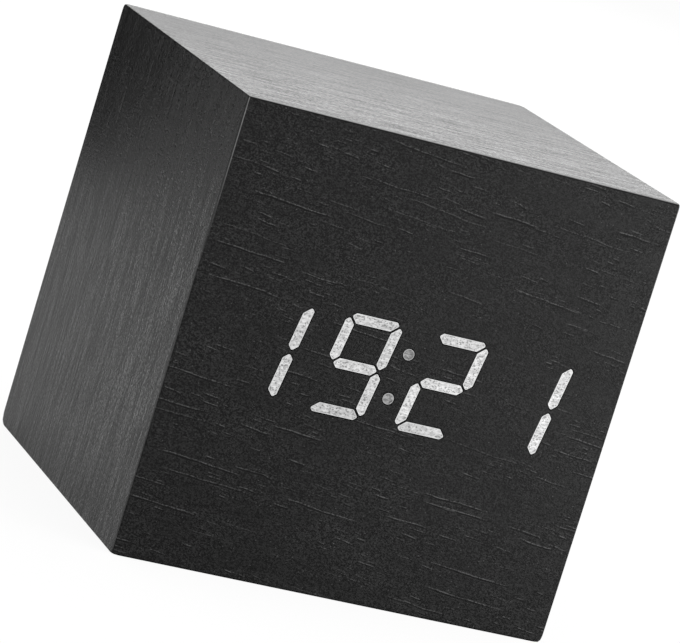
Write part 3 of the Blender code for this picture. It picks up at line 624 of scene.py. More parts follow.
def veneer_material(name, axes, look):
    """Black-stained veneer with open grain. axes run along the grain, across it and inwards."""
    look = SimpleNamespace(**look)
    made, shader = new_material(name, roughness=look.roughness, level=look.level)
    place = millimetres(shader)
    along = [place["XYZ".index(axis)] for axis in axes]
    patterns = sheet_patterns(along, look)
    light, dark = pore_lines(along, look, patterns)
    near = from_front(place[1], 1.0, look.back_share)
    level = stain_level(place[1], look, patterns, light, dark)
    level = level_with_wear_and_painted_light(place, level, look, patterns.bands)
    gloss = gloss_level(place, look, patterns, near)
    set_inputs(shader, {"Base Color": vector(level, level, level), "Roughness": gloss})
    relief(shader, grain_height(look, patterns, dark, near), 0.01 * MM)
    return made


def plastic_material(name):
    """Moulded plastic with a fine eroded grain."""
    colour, roughness, depth = PLASTICS[name]
    made, shader = new_material(name, roughness=roughness)
    place = millimetres(shader)
    cells = noise(place, (0.12, 0.12, 0.12))
    patches = noise(place, (9.0, 9.0, 9.0))
    level = product(swing(patches, 1, 0.15), swing(cells, 1, 0.1))
    gloss = swing(patches, roughness, 0.04)
    set_inputs(shader, {"Base Color": tinted(colour, level), "Roughness": gloss})
    relief(shader, cells, depth)
    return made


def metal_material(name):
    """Plated metal with fine handling marks."""
    colour, roughness = METALS[name]
    made, shader = new_material(name, roughness=roughness, metallic=1.0)
    place = millimetres(shader)
    marks = noise(place, (0.3, 0.3, 0.3), detail=3.0)
    stain = noise(place, (2.5, 2.5, 2.5), detail=3.0)
    colour = tinted(colour, swing(stain, 0.95, 0.1))
    gloss = fade(marks, *NOISE_RANGE, roughness - 0.08, roughness + 0.1)
    set_inputs(shader, {"Base Color": colour, "Roughness": gloss})
    relief(shader, marks, 0.002 * MM)
    return made


def fibreboard_material(name):
    """Fibreboard: brown fibres, with the black stain soaked into the rim at the back."""
    made, shader = new_material(name, roughness=0.85)
    place = millimetres(shader)
    fibres = noise(place, (0.35, 0.35, 0.35), detail=4.0, roughness=0.65)
    soaked = noise(place, (1.6, 1.6, 1.6), detail=3.0)
    brown = mixed(fade(fibres, *NOISE_RANGE), (0.2, 0.13, 0.075, 1), (0.44, 0.32, 0.2, 1))
    black = mixed(fade(fibres, 0.35, 0.7), grey(0.008), grey(0.022))
    rim = calc("SUBTRACT", CASE_HIGH.y / MM, place[1])
    edge = total(rim, swing(soaked, 0, 0.5))
    set_inputs(shader, {"Base Color": mixed(fade(edge, 1.6, 2.6), black, brown)})
    relief(shader, fibres, 0.03 * MM)
    return made


def pine_material(name):
    """Planed pine with its year rings along the clock's depth."""
    made, shader = new_material(name, roughness=0.7)
    place = millimetres(shader)
    along = (place[1], place[0], place[2])
    rings = noise(along, (14.0, 0.7, 2.2), detail=3.0)
    fibres = noise(along, (2.5, 0.12, 0.12))
    tone = mixed(fade(rings, 0.35, 0.65), (0.46, 0.29, 0.13, 1), (0.68, 0.5, 0.3, 1))
    tone = mixed(fade(fibres, *NOISE_RANGE, 0.0, 0.35), tone, (0.36, 0.22, 0.1, 1))
    set_inputs(shader, {"Base Color": tone})
    relief(shader, fibres, 0.01 * MM)
    return made


def circuit_board_material(name):
    """A circuit board's solder mask over its tracks."""
    made, shader = new_material(name, roughness=0.38)
    place = millimetres(shader)
    inputs = {"Vector": stretched((place[0], place[2]), (2.2, 2.2)), "Scale": 1.0}
    tracks = add("TexVoronoi", inputs, voronoi_dimensions="2D", feature="DISTANCE_TO_EDGE")
    tracks = fade(tracks.outputs["Distance"], 0.05, 0.11, 1.0, 0.0)
    mask = noise(place, (5.0, 5.0, 5.0))
    green = mixed(mask, (0.012, 0.075, 0.03, 1), (0.02, 0.11, 0.05, 1))
    set_inputs(shader, {"Base Color": mixed(tracks, green, (0.04, 0.19, 0.08, 1))})
    relief(shader, tracks, 0.03 * MM)
    return made


def ribbon_material(name):
    """Flat cable: round conductors side by side, with painted shade in the grooves between them."""
    made, shader = new_material(name, roughness=0.5)
    x = millimetres(shader)[0]
    waves = calc("ABSOLUTE", calc("SINE", product(x, math.pi / RIBBON_PITCH)))
    # Darker in the grooves between the conductors: painted shade
    level = fade(waves, 0.0, 0.6, 0.16, 0.46)
    set_inputs(shader, {"Base Color": vector(level, level, level)})
    relief(shader, waves, 0.25 * MM)
    return made


def lit_material(name):
    """The lamps' light in the filling: milky and mottled at the face, under the veneer's pores and fibres,
    and near black below it as painted shade.
    """
    made, shader = new_material(name, roughness=0.45, level=0.25)
    place = millimetres(shader)
    y = place[1]
    along = (place[0], place[2], y)
    fibres = noise(along, (1.6, 0.13, 0.4), 3.0, detail=3.0)
    mottle = noise(along, (0.6, 0.42, 0.4), 7.0, detail=3.0)
    specks = noise(along, (0.25, 0.2, 0.2), 11.0, detail=1.0)
    tree = shader.id_data
    core = add("Attribute", {}, tree, attribute_name="core").outputs["Fac"]
    glow = add("Attribute", {}, tree, attribute_name="glow").outputs["Fac"]
    uneven = fade(glow, 0.35, 0.5, 0.6, 1.0)
    level = product(
        swing(fibres, 0.94, 0.18),
        fade(mottle, 0.36, 0.64, 0.82, 1.1),
        fade(specks, 0.5, 0.68, 1.06, 0.42),
        fade(mottle, 0.42, 0.54, uneven, 1.0),
    )
    rim = fade(core, 0.0, 1.0, fade(glow, 0.35, 0.5, 1.6, 1.34), 0.0)
    at_face = calc("LESS_THAN", y, (CASE_LOW.y + FACE_DEPTH) / MM)
    level = product(calc("MAXIMUM", level, rim), glow, at_face)
    # Near black below the face, in the windows' gaps: painted shade
    milky = mixed(at_face, grey(0.35), grey(0.02))
    lamps = vector(level, level, level)
    set_inputs(shader, {"Base Color": milky, "Emission Color": lamps, "Emission Strength": 1.0})
    return made


# Case


def box_mesh(low, high):
    bm = bmesh.new()
    verts = [bm.verts.new(corner) for corner in itertools.product(*zip(low, high))]
    for face in ((0, 1, 3, 2), (4, 6, 7, 5), (0, 4, 5, 1), (2, 3, 7, 6), (0, 2, 6, 4), (1, 5, 7, 3)):
        bm.faces.new([verts[i] for i in face])
    return bm


def prism(bm, outline, low, high):
    """Adds a closed block with an outline in X and Z, between two places along Y."""
    near = [bm.verts.new((x, low, z)) for x, z in outline]
    far = [bm.verts.new((x, high, z)) for x, z in outline]
    for i in range(len(outline)):
        bm.faces.new((near[i - 1], near[i], far[i], far[i - 1]))
    bm.faces.new(near)
    bm.faces.new(far[::-1])
    return near, far


def split_at(bm, axis, place):
    """Adds a line of points right round the mesh where a plane crosses it."""
    normal = Vector([float(i == axis) for i in range(3)])
    geometry = bm.verts[:] + bm.edges[:] + bm.faces[:]
    bmesh.ops.bisect_plane(bm, geom=geometry, dist=TINY / 10, plane_co=normal * place, plane_no=normal)


def gridded(bm):
    """Adds fine lines along the case's edges, for rounding them."""
    lows = [min(v.co[i] for v in bm.verts) for i in range(3)]
    highs = [max(v.co[i] for v in bm.verts) for i in range(3)]
    for axis in range(3):
        for step in GRID_STEPS:
            for place in (CASE_LOW[axis] + step, CASE_HIGH[axis] - step):
                if lows[axis] + TINY < place < highs[axis] - TINY:
                    split_at(bm, axis, place)


def edge_radius(point):
    """The sanding radius near a point: small along the edges, larger at each corner."""
    radius = EDGE_RADIUS
    for side, corner_radius in CORNER_RADII.items():
        corner = Vector([s * h for s, h in zip(side, HALF)])
        nearness = max(0, 1 - (point - corner).length / (CORNER_REACH * corner_radius))
        radius += (corner_radius - EDGE_RADIUS) * nearness * nearness * (3 - 2 * nearness)
    return radius


def sanding(point):
    """How far a point on the sharp case moves to lie on the sanded one."""
    radius = edge_radius(point)
    core = Vector([max(radius - h, min(h - radius, c)) for c, h in zip(point, HALF)])
    outward = point - core
    return outward * (min(1, radius / outward.length) - 1)


def sanded(bm):
    """Rounds the case's edges and corners. A point under the surface moves with the surface over it."""
    for vertex in bm.verts:
        point = vertex.co - MIDDLE
        depths = [h - abs(c) for c, h in zip(point, HALF)]
        moves = []
        for i, depth in enumerate(depths):
            if depth < min(depths) + TINY:
                outer = point.copy()
                outer[i] = math.copysign(HALF[i], point[i])
                moves.append(sanding(outer))
        vertex.co += sum(moves, Vector()) / len(moves)


def wall_outline(quarter, outer, inner):
    """A mitred wall's end shape in X and Z, turned by quarters from the top."""
    cosine, sine = [(1, 0), (0, 1), (-1, 0), (0, -1)][quarter]
    points = [(-outer + SEAM, outer), (outer - SEAM, outer), (inner - SEAM, inner), (-inner + SEAM, inner)]
    return [(x * cosine - z * sine, MIDDLE.z + x * sine + z * cosine) for x, z in points]


def make_case(veneers, fibreboard):
    """The sheets and boards, sanded together, with the windows of the display."""
    bm = box_mesh(CASE_LOW, Vector((CASE_HIGH.x, SHEET_BACK, CASE_HIGH.z)))
    gridded(bm)
    sanded(bm)
    sheet = finished("front_veneer_sheet", bm, "case", "front_veneer")
    cut_windows(sheet)
    sheet.data.materials.append(veneers["front"])

    for quarter, side in enumerate(("top", "left", "bottom", "right")):
        bm = bmesh.new()
        prism(bm, wall_outline(quarter, HALF.z, HALF.z - VENEER), SHEET_BACK, CASE_HIGH.y)
        gridded(bm)
        sanded(bm)
        sheet = finished(f"{side}_veneer_sheet", bm, "case", f"{side}_veneer")
        sheet.data.materials.append(veneers["level" if side in ("top", "bottom") else "upright"])

        bm = bmesh.new()
        outline = wall_outline(quarter, HALF.z - VENEER - SEAM, BOARD_INNER)
        far = prism(bm, outline, BOARD_START, CASE_HIGH.y)[1]
        inner = [e for e in bm.edges if set(e.verts) == {far[2], far[3]}]
        bmesh.ops.bevel(bm, geom=inner, offset=BOARD_BEVEL, segments=3, profile=0.5, affect="EDGES")
        gridded(bm)
        sanded(bm)
        board = finished(f"{side}_board_panel", bm, "case", f"{side}_board")
        board.data.materials.append(fibreboard)


# Display


def slanted(x, z):
    """A place on the face from one on the upright display."""
    return (x + SLANT_SHARE * z + DISPLAY_OFFSET.x, MIDDLE.z + z + DISPLAY_OFFSET.y)


def mirrored(outline, across, along):
    return [(x * across, z * along) for x, z in outline]


def segment_outlines():
    """The seven segments a to g about the digit's middle: mitred bars with cut corners."""
    half_stroke = STROKE / 2
    mitre = MITRE_GAP / math.sqrt(2)
    x = (DIGIT_WIDTH - STROKE) / 2
    z = (DIGIT_HEIGHT - STROKE) / 2
    cut_line = (DIGIT_WIDTH + DIGIT_HEIGHT) / 2 - CORNER_CUT
    above, below = z - x + mitre, z - x - mitre
    top, right = z + half_stroke, x + half_stroke
    inner = x - half_stroke - mitre
    cut_x, cut_z = (cut_line - above) / 2, (cut_line + above) / 2
    half = [(inner, z - half_stroke), (cut_x, cut_z), (cut_line - top, top)]
    a = half + [(-u, v) for u, v in reversed(half)]
    b = [(x - half_stroke, half_stroke + mitre), (x, mitre), (right, half_stroke + mitre)]
    b += [(right, cut_line - right), ((cut_line - below) / 2, (cut_line + below) / 2)]
    b += [(x - half_stroke, z - half_stroke - mitre)]
    tip = x - mitre
    g = [(inner, -half_stroke), (tip, 0), (inner, half_stroke)]
    g += [(-inner, half_stroke), (-tip, 0), (-inner, -half_stroke)]
    shapes = {"a": a, "b": b, "g": g}
    shapes["c"] = mirrored(b, 1, -1)
    shapes["d"] = mirrored(a, 1, -1)
    shapes["e"] = mirrored(b, -1, -1)
    shapes["f"] = mirrored(b, -1, 1)
    return shapes


def counterclockwise(outline):
    area = sum(p[0] * q[1] - q[0] * p[1] for p, q in zip(outline, outline[1:] + outline[:1]))
    return [Vector(p) for p in (outline if area > 0 else outline[::-1])]


def with_neighbours(points):
    """Each point of a closed line between the one before and the one after it."""
    return zip(points[-1:] + points[:-1], points, points[1:] + points[:1])


def grown(outline, gap):
    """A convex outline with each edge moved outwards by the gap."""
    moved = []
    for before, here, after in with_neighbours(counterclockwise(outline)):
        first, second = (here - before).normalized(), (after - here).normalized()
        outward = Vector((first.y + second.y, -first.x - second.x)).normalized()
        moved.append(here + outward * (gap / outward.dot(Vector((first.y, -first.x)))))
    return [tuple(point) for point in moved]


def rounded(outline, radius, steps=3):
    """A convex outline with an arc of short edges at each corner."""
    made = []
    for before, here, after in with_neighbours(counterclockwise(grown(outline, -radius))):
        first, second = here - before, after - here
        start = math.atan2(-first.x, first.y)
        turn = (math.atan2(-second.x, second.y) - start) % (2 * math.pi)
        for step in range(steps + 1):
            angle = start + turn * step / steps
            made.append((here.x + radius * math.cos(angle), here.y + radius * math.sin(angle)))
    return made


def circle(centre, radius, sides):
    turns = [2 * math.pi * i / sides for i in range(sides)]
    return [(centre[0] + radius * math.cos(t), centre[1] + radius * math.sin(t)) for t in turns]


def digit_centres():
    middle = (len(TIME_SHOWN) - 1) / 2
    return [(place - middle) * DIGIT_PITCH for place in range(len(TIME_SHOWN))]


def segments(place):
    """Each segment of one digit: how bright it is, and its slanted outline with rounded tips."""
    middle = digit_centres()[place]
    found = []
    for name, outline in segment_outlines().items():
        sharp = grown([slanted(middle + u, v) for u, v in outline], -FILLING_INSET)
        shape = rounded(sharp, TIP_RADIUS)
        drift = 1 + GLOW_DRIFT * middle / (2 * DIGIT_PITCH)
        lit = name in LIT_SEGMENTS[TIME_SHOWN[place]]
        found.append((GLOW * GLOW_SHARES.get(name, 1) * drift if lit else 0, shape))
    return found


def dot_outlines():
    radius = DOT_RADIUS - FILLING_INSET
    return [circle(slanted(0, height), radius, DOT_SIDES) for height in (-DOT_HEIGHT, DOT_HEIGHT)]


def carve(made, bm):
    """Cuts the bodies in a mesh out of a piece."""
    bmesh.ops.recalc_face_normals(bm, faces=bm.faces)
    cutter = mesh_object("cutter", bm)
    modifier = made.modifiers.new("Cut", "BOOLEAN")
    modifier.operation = "DIFFERENCE"
    modifier.object = cutter
    bpy.context.view_layer.update()
    evaluated = made.evaluated_get(bpy.context.evaluated_depsgraph_get())
    cut = bpy.data.meshes.new_from_object(evaluated)
    made.modifiers.clear()
    made.data = cut
    bpy.data.objects.remove(cutter)
    cut.set_sharp_from_angle(angle=SHARP_ANGLE)


def cut_windows(sheet):
    """Opens the veneer where a segment or dot is lit."""
    bm = bmesh.new()
    shapes = [shape for place in range(len(TIME_SHOWN)) for strength, shape in segments(place) if strength]
    for shape in shapes + dot_outlines():
        prism(bm, grown(shape, FILLING_INSET + WINDOW_GAP), CASE_LOW.y - VENEER, SHEET_BACK + VENEER)
    carve(sheet, bm)


def lit_block(bm, outline, front, back, strength):
    """A block whose front glows at a strength. Its core attribute is 0 on the bright rim and 1 inside.
    The outline runs counterclockwise."""
    core, glow = [bm.verts.layers.float[name] for name in ("core", "glow")]
    near = [bm.verts.new((x, front, z)) for x, z in outline]
    inside = [bm.verts.new((x, front, z)) for x, z in grown(outline, -RIM_WIDTH)]
    far = [bm.verts.new((x, back, z)) for x, z in outline]
    for i in range(len(near)):
        bm.faces.new((near[i - 1], near[i], far[i], far[i - 1]))
        bm.faces.new((inside[i - 1], inside[i], near[i], near[i - 1]))
    bm.faces.new(inside[::-1])
    bm.faces.new(far)
    for vertex in inside:
        vertex[core] = 1
    for vertex in near + inside + far:
        vertex[glow] = strength


def glowing_mesh():
    bm = bmesh.new()
    for name in ("core", "glow"):
        bm.verts.layers.float.new(name)
    return bm


def slanted_block(middle, half_width, reach):
    """An outline about a place on the display's middle line."""
    corners = ((-half_width, -reach), (half_width, -reach), (half_width, reach), (-half_width, reach))
    return [slanted(middle + u, v) for u, v in corners]


def make_filling(node, shapes, outline, finish):
    """The filling behind some segments or dots: a block for each, and one that joins them."""
    housing_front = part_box("display_housing")[0].y
    bm = glowing_mesh()
    for strength, shape in shapes:
        front = CASE_LOW.y if strength else housing_front
        lit_block(bm, shape, front, housing_front + WELL_DEPTH, strength)
    prism(bm, outline, housing_front + WELL_DEPTH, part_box(node)[1].y)
    made = finished(node.replace("guide", "filling"), bm, "case", node)
    made.data.materials.append(finish)


def make_display(finish):
    """The filling of each digit and of the colon, lit where it reaches the face."""
    for place, node in enumerate(DIGIT_NODES):
        low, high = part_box(node)
        half_width, reach = DIGIT_WIDTH / 2 + GUIDE_MARGIN, (high.z - low.z) / 2
        outline = slanted_block(digit_centres()[place], half_width, reach)
        make_filling(node, segments(place), outline, finish)

    low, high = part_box("colon_guide")
    reach = (high.z - low.z) / 2
    outline = slanted_block(0, (high.x - low.x) / 2 - SLANT_SHARE * reach, reach)
    dots = [(GLOW_DOTS, shape) for shape in dot_outlines()]
    make_filling("colon_guide", dots, outline, finish)


# Moulded and metal pieces


def slot_of(node):
    return next(row["material_slot"] for row in frame["record"]["subparts"] if row["node"] == node)


def dressed(node, bm, slots, second=None):
    """The piece that stands for a CAD node, in the node's own finish. Faces may carry a second finish."""
    made = finished(node + "_part", bm, frame["nodes"][node]["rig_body"], node, MOULDED_ANGLE)
    made.data.materials.append(slots[slot_of(node)])
    if second:
        made.data.materials.append(second)
    return made


def softened(node, width, slots):
    """A copy of a CAD node with its sharp edges eased, which stands for it."""
    bm = bmesh.new()
    bm.from_mesh(frame["nodes"][node].data)
    bmesh.ops.remove_doubles(bm, verts=bm.verts, dist=TINY)
    bmesh.ops.dissolve_limit(bm, angle_limit=math.radians(1), verts=bm.verts, edges=bm.edges)
    for face in bm.faces:
        face.material_index = 0
    made = dressed(node, bm, slots)
    modifier = made.modifiers.new("Eased edges", "BEVEL")
    modifier.width = width
    modifier.segments = 2
    modifier.limit_method = "ANGLE"
    modifier.angle_limit = MOULDED_ANGLE
    made.modifiers.new("Flat faces", "WEIGHTED_NORMAL").keep_sharp = True


def eased(points, reach, steps=3):
    """A line of points with each inner corner rounded off over a reach."""
    points = [Vector(point) for point in points]
    made = [points[0]]
    for before, here, after in zip(points, points[1:], points[2:]):
        sides = (before - here, after - here)
        start, end = [here + side * min(EASED_SHARE_AT_MOST, reach / side.length) for side in sides]
        for step in range(steps + 1):
            t = step / steps
            made.append(start * (1 - t) ** 2 + here * 2 * t * (1 - t) + end * t * t)
    return made + [points[-1]]


def turned(bm, axis, centre, profile, closed=False):
    """Adds a turned body from radii and places along an axis. Returns its faces."""
    rings = []
    for radius, along in profile:
        ring = []
        for u, v in circle(centre, radius, ROUND_SIDES):
            ring.append(bm.verts.new((along, u, v) if axis == "X" else (u, along, v)))
        rings.append(ring)
    pairs = list(zip(rings, rings[1:]))
    faces = []
    if closed:
        pairs.append((rings[-1], rings[0]))
    else:
        faces = [bm.faces.new(rings[0]), bm.faces.new(rings[-1])]
    for near, far in pairs:
        for i in range(ROUND_SIDES):
            faces.append(bm.faces.new((near[i - 1], near[i], far[i], far[i - 1])))
    return faces


def round_box(node):
    """A round piece's box, its middle in X and Z, and its radius."""
    low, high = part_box(node)
    return low, high, ((low.x + high.x) / 2, (low.z + high.z) / 2), (high.x - low.x) / 2


def make_buttons(slots, paint):
    """Three dished buttons with a raised mark on each: a ring and two arrows."""
    for name, direction in (("set", 0), ("up", 1), ("down", -1)):
        node = f"button_{name}"
        low, high, (x, z), radius = round_box(node)
        flange = COVER_FACE - COVER_PLATE - SEAT_GAP
        dish = high.y - BUTTON_DISH_DEPTH
        profile = [(AXIS_RADIUS, low.y), (BUTTON_STEM, low.y), (BUTTON_STEM, flange - BUTTON_FLANGE)]
        profile += [(radius, flange - BUTTON_FLANGE), (radius, flange)]
        profile += [(BUTTON_RADIUS, flange), (BUTTON_RADIUS, high.y), (BUTTON_DISH, high.y)]
        profile += [(BUTTON_DISH - 2 * BUTTON_DISH_DEPTH, dish), (AXIS_RADIUS, dish)]
        bm = bmesh.new()
        turned(bm, "Y", (x, z), eased(profile, BUTTON_EASE))
        top = dish + MARK_HEIGHT
        if direction:
            arrow = [(x + u * MARK_SIZE, z + v * direction * MARK_SIZE) for u, v in ARROW_SHARES]
            prism(bm, rounded(arrow, MARK_STROKE / 2), dish - MARK_HEIGHT, top)
        else:
            inner, base = MARK_SIZE - MARK_STROKE, dish - MARK_HEIGHT
            ring = [(MARK_SIZE, base), (MARK_SIZE, top), (inner, top), (inner, base)]
            turned(bm, "Y", (x, z), ring, closed=True)
        for face in bm.faces:
            if all(abs(vertex.co.y - top) < TINY for vertex in face.verts):
                face.material_index = 1
        dressed(node, bm, slots, paint)


def make_cover_screws(slots):
    """Domed screws with a cross recess."""
    for side in ("upper_left", "upper_right", "lower_left", "lower_right"):
        node = f"cover_screw_{side}"
        low, high, (x, z), radius = round_box(node)
        seat = COVER_FACE - SCREW_SEAT
        crown = high.y - seat - SCREW_RIM
        profile = [(AXIS_RADIUS, low.y), (SCREW_TIP_SHARE * SCREW_SHANK, low.y)]
        profile += [(SCREW_SHANK, low.y + SCREW_SHANK), (SCREW_SHANK, seat), (radius, seat)]
        turns = [math.pi / 2 * step / DOME_STEPS for step in range(DOME_STEPS)]
        profile += [(radius * math.cos(t), seat + SCREW_RIM + crown * math.sin(t)) for t in turns]
        bm = bmesh.new()
        turned(bm, "Y", (x, z), profile + [(AXIS_RADIUS, high.y)])
        screw = dressed(node, bm, slots)
        arm, half = CROSS_ARM, CROSS_HALF_WIDTH
        cross = [(u * c - v * s, u * s + v * c) for c, s in ((1, 0), (0, 1), (-1, 0), (0, -1))
                 for u, v in ((arm, -half), (arm, half), (half, half))]
        cutter = bmesh.new()
        near, far = prism(cutter, cross, high.y - CROSS_DEPTH, high.y + CROSS_DEPTH)
        for vertex in near + far:
            widen = 1 - CROSS_TAPER_SHARE if vertex in near else 1 + CROSS_TAPER_SHARE
            vertex.co = (x + vertex.co.x * widen, vertex.co.y, z + vertex.co.z * widen)
        carve(screw, cutter)


def make_cells(slots):
    """Cells in a film that is rolled in over bare metal ends."""
    for node, nub in CELL_NUBS.items():
        low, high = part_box(node)
        centre, radius = ((low.y + high.y) / 2, (low.z + high.z) / 2), (high.z - low.z) / 2
        flat, tip = (low.x, high.x) if nub > 0 else (high.x, low.x)
        shoulder = tip - nub * CELL_NUB
        film, groove = radius - CELL_FILM, CELL_GROOVE
        profile = [(AXIS_RADIUS, flat), (film - groove, flat), (film - groove, flat + nub * groove)]
        profile += [(film, flat + nub * groove), (film, flat), (radius, flat), (radius, shoulder)]
        profile += [(film, shoulder), (film, shoulder - nub * groove)]
        profile += [(CELL_NUB_RADIUS + groove, shoulder - nub * groove)]
        profile += [(CELL_NUB_RADIUS, shoulder), (CELL_NUB_RADIUS, tip), (AXIS_RADIUS, tip)]
        bm = bmesh.new()
        for face in turned(bm, "X", centre, eased(profile, CELL_EASE)):
            place = face.calc_center_median()
            if math.dist((place.y, place.z), centre) < film:
                face.material_index = 1
        dressed(node, bm, slots, slots["nickel"])


def make_springs(slots):
    """Conical springs, wound from the contact plate to the flat end of the cell."""
    for row, (node, nub) in zip(("lower", "middle", "upper"), CELL_NUBS.items()):
        name = f"spring_{row}"
        low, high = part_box(name)
        cell_low, cell_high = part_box(node)
        y, z = (cell_low.y + cell_high.y) / 2, (cell_low.z + cell_high.z) / 2
        base, tip = low.x + SPRING_WIRE, high.x - SPRING_WIRE
        if nub < 0:
            base, tip = tip, base
        curve = bpy.data.curves.new(name + "_part", "CURVE")
        curve.dimensions = "3D"
        spline = curve.splines.new("POLY")
        spline.points.add(SPRING_POINTS)
        start, end = SPRING_CLIMB_SHARES
        for i in range(SPRING_POINTS + 1):
            share = i / SPRING_POINTS
            turn = 2 * math.pi * SPRING_TURNS * share
            radius = SPRING_BASE + (SPRING_TIP - SPRING_BASE) * share
            climb = max(0, min(1, (share - start) / (end - start)))
            x = base + (tip - base) * climb
            spline.points[i].co = (x, y + radius * math.cos(turn), z + radius * math.sin(turn), 1)
        curve.bevel_depth = SPRING_WIRE
        curve.bevel_resolution = 3
        curve.use_fill_caps = True
        curve.materials.append(slots["nickel"])
        coil = new_object(name + "_part", curve)
        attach(coil, "case")
        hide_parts(name)


def make_inlet(slots):
    """The socket for the mains lead, with its pin."""
    low, high, centre, radius = round_box("dc_socket")
    shoulder = COVER_FACE - COVER_PLATE - SEAT_GAP
    floor = high.y - INLET_DEPTH
    profile = [(AXIS_RADIUS, low.y), (radius, low.y), (radius, shoulder), (INLET_NECK, shoulder)]
    profile += [(INLET_NECK, high.y), (INLET_BORE + INLET_CHAMFER, high.y)]
    profile += [(INLET_BORE, high.y - INLET_CHAMFER), (INLET_BORE, floor), (AXIS_RADIUS, floor)]
    bm = bmesh.new()
    turned(bm, "Y", centre, eased(profile, INLET_EASE))
    dressed("dc_socket", bm, slots)

    low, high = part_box("dc_pin")
    radius = (high.x - low.x) / 2
    bm = bmesh.new()
    profile = [(AXIS_RADIUS, low.y), (radius, low.y), (radius, high.y), (AXIS_RADIUS, high.y)]
    turned(bm, "Y", centre, eased(profile, PIN_EASE_SHARE * radius, steps=5))
    dressed("dc_pin", bm, slots)


def make_back(slots, paint):
    """The pieces that show when the clock is turned round or its battery door is open."""
    softened("rear_cover", COVER_EASE, slots)
    softened("battery_door", DOOR_EASE, slots)
    for side in ("left", "right"):
        for row in ("lower", "upper"):
            softened(f"contact_plate_{side}_{row}", CONTACT_EASE, slots)
    make_buttons(slots, paint)
    make_cover_screws(slots)
    make_cells(slots)
    make_springs(slots)
    make_inlet(slots)


# Stage


def stage_sheet(name, corners):
    """One flat face of the stage."""
    bm = bmesh.new()
    bm.faces.new([bm.verts.new(corner) for corner in corners])
    made = mesh_object(name, bm)
    return made


def make_floor():
    """A pale floor that the camera sees as near white, with the object's shadow on it."""
    plan = ((-1, -1), (1, -1), (1, 1), (-1, 1))
    floor = stage_sheet("floor", [(x * FLOOR_REACH, y * FLOOR_REACH, -2 * TINY) for x, y in plan])
    made = bpy.data.materials.new("pale floor")
    made.use_nodes = True
    tree = made.node_tree
    tree.nodes.clear()
    rays = add("LightPath", {}, tree).outputs
    reflected = calc("MAXIMUM", rays["Is Glossy Ray"], rays["Is Transmission Ray"])
    reflected = product(reflected, FLOOR_REFLECTED_SHARE)
    share = calc("MAXIMUM", reflected, product(rays["Is Camera Ray"], FLOOR_SEEN_SHARE))
    diffuse = add("BsdfDiffuse", {"Color": grey(FLOOR_COLOUR)}, tree).outputs[0]
    glow = add("Emission", {"Color": grey(1.0), "Strength": FLOOR_GLOW}, tree).outputs[0]
    surface = add("MixShader", {0: share, 1: diffuse, 2: glow}).outputs[0]
    add("OutputMaterial", {"Surface": surface})
    floor.data.materials.append(made)


def make_world():
    """An even studio light, in front of a white backdrop."""
    world = bpy.data.worlds.new("studio")
    bpy.context.scene.world = world
    world.use_nodes = True
    tree = world.node_tree
    tree.nodes.clear()
    rays = add("LightPath", {}, tree).outputs
    seen = calc("MAXIMUM", rays["Is Camera Ray"], rays["Is Glossy Ray"])
    seen = calc("MAXIMUM", seen, rays["Is Transmission Ray"])
    studio = add("Background", {"Color": grey(1.0), "Strength": STUDIO_STRENGTH}, tree).outputs[0]
    backdrop = add("Background", {"Color": grey(1.0), "Strength": BACKDROP_STRENGTH}, tree).outputs[0]
    surface = add("MixShader", {0: seen, 1: studio, 2: backdrop}).outputs[0]
    add("OutputWorld", {"Surface": surface})


def soft_lamp(name, place, width, height, strength):
    """A soft rectangular lamp, turned to the clock."""
    lamp = bpy.data.lights.new(name, "AREA")
    lamp.shape = "RECTANGLE"
    lamp.size = width
    lamp.size_y = height
    lamp.energy = strength * math.pi * width * height
    made = new_object(name, lamp)
    made.location = place
    made.rotation_euler = (MIDDLE - Vector(place)).to_track_quat("-Z", "Y").to_euler()
    made.visible_camera = False


def make_dark_card():
    """An upright dark card beside the view, which only shows in reflections."""
    foot = [(x, y, low) for (x, y), low in zip(CARD_ENDS, CARD_LOWS)]
    head = [(x, y, CARD_TOP) for x, y in reversed(CARD_ENDS)]
    card = stage_sheet("dark card", foot + head)
    black, shader = new_material("dark card", roughness=1.0, level=0.0)
    set_inputs(shader, {"Base Color": grey(CARD_COLOUR)})
    card.data.materials.append(black)
    for rays in ("camera", "diffuse", "shadow", "transmission"):
        setattr(card, "visible_" + rays, False)


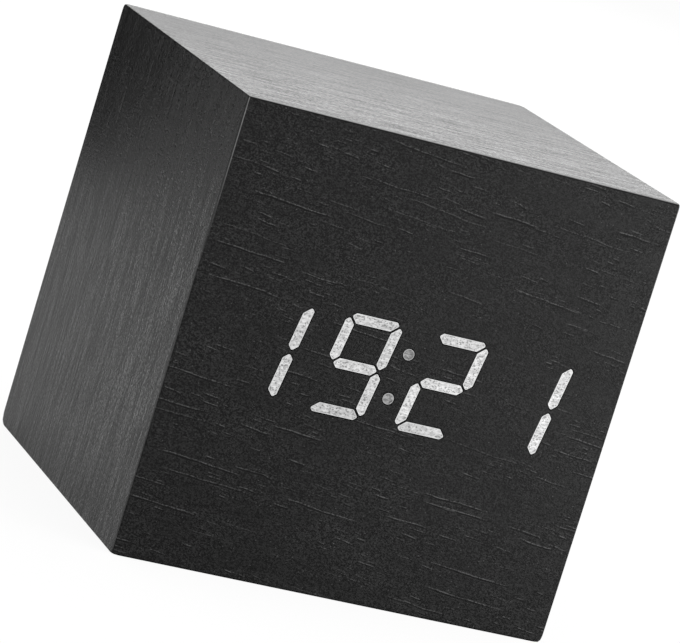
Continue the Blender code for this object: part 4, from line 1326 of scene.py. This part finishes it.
def make_camera():
    """The photograph's camera: from the front left, a little above, rolled to the right."""
    flat = math.cos(VIEW_ELEVATION)
    x, y = math.sin(VIEW_AZIMUTH) * flat, -math.cos(VIEW_AZIMUTH) * flat
    back = Vector((x, y, math.sin(VIEW_ELEVATION)))
    level_right = (-back).cross(Vector((0, 0, 1))).normalized()
    level_up = level_right.cross(-back)
    up = level_up * math.cos(VIEW_ROLL) + level_right * math.sin(VIEW_ROLL)
    right = up.cross(back)
    data = bpy.data.cameras.new("camera")
    data.sensor_fit = "HORIZONTAL"
    data.sensor_width = SENSOR
    data.lens = SENSOR * FOCAL_PIXELS / IMAGE_WIDTH
    camera = new_object("camera", data)
    turn = Matrix((right, up, back)).transposed().to_4x4()
    camera.matrix_world = Matrix.Translation(VIEW_TARGET + back * VIEW_DISTANCE) @ turn
    bpy.context.scene.camera = camera


def make_slots(front):
    """A material for each of the record's slots, and the paint of the buttons' marks."""
    slots = {name: plastic_material(name) for name in PLASTICS}
    slots.update({name: metal_material(name) for name in METALS})
    makers = {
        "fibreboard": fibreboard_material,
        "pine": pine_material,
        "circuit_board": circuit_board_material,
        "ribbon": ribbon_material,
        "lit_filling": lit_material,
    }
    slots.update({name: maker(name) for name, maker in makers.items()})
    slots["stained_veneer"] = front
    return slots


def main():
    veneers = {
        "front": veneer_material("stained_veneer_front", "XZY", FRONT_LOOK),
        "level": veneer_material("stained_veneer_level", "XYZ", LEVEL_LOOK),
        "upright": veneer_material("stained_veneer_upright", "ZYX", UPRIGHT_LOOK),
    }
    slots = make_slots(veneers["front"])
    for row in frame["record"]["subparts"]:
        mesh = frame["nodes"][row["node"]].data
        mesh.materials.clear()
        mesh.materials.append(slots[row["material_slot"]])

    make_case(veneers, slots["fibreboard"])
    make_display(slots["lit_filling"])
    make_back(slots, slots["mark_paint"])

    bpy.context.scene.view_settings.view_transform = "Standard"
    make_camera()
    make_floor()
    make_world()
    for name, (place, width, height, strength) in LAMPS.items():
        soft_lamp(name, place, width, height, strength)
    make_dark_card()


main()
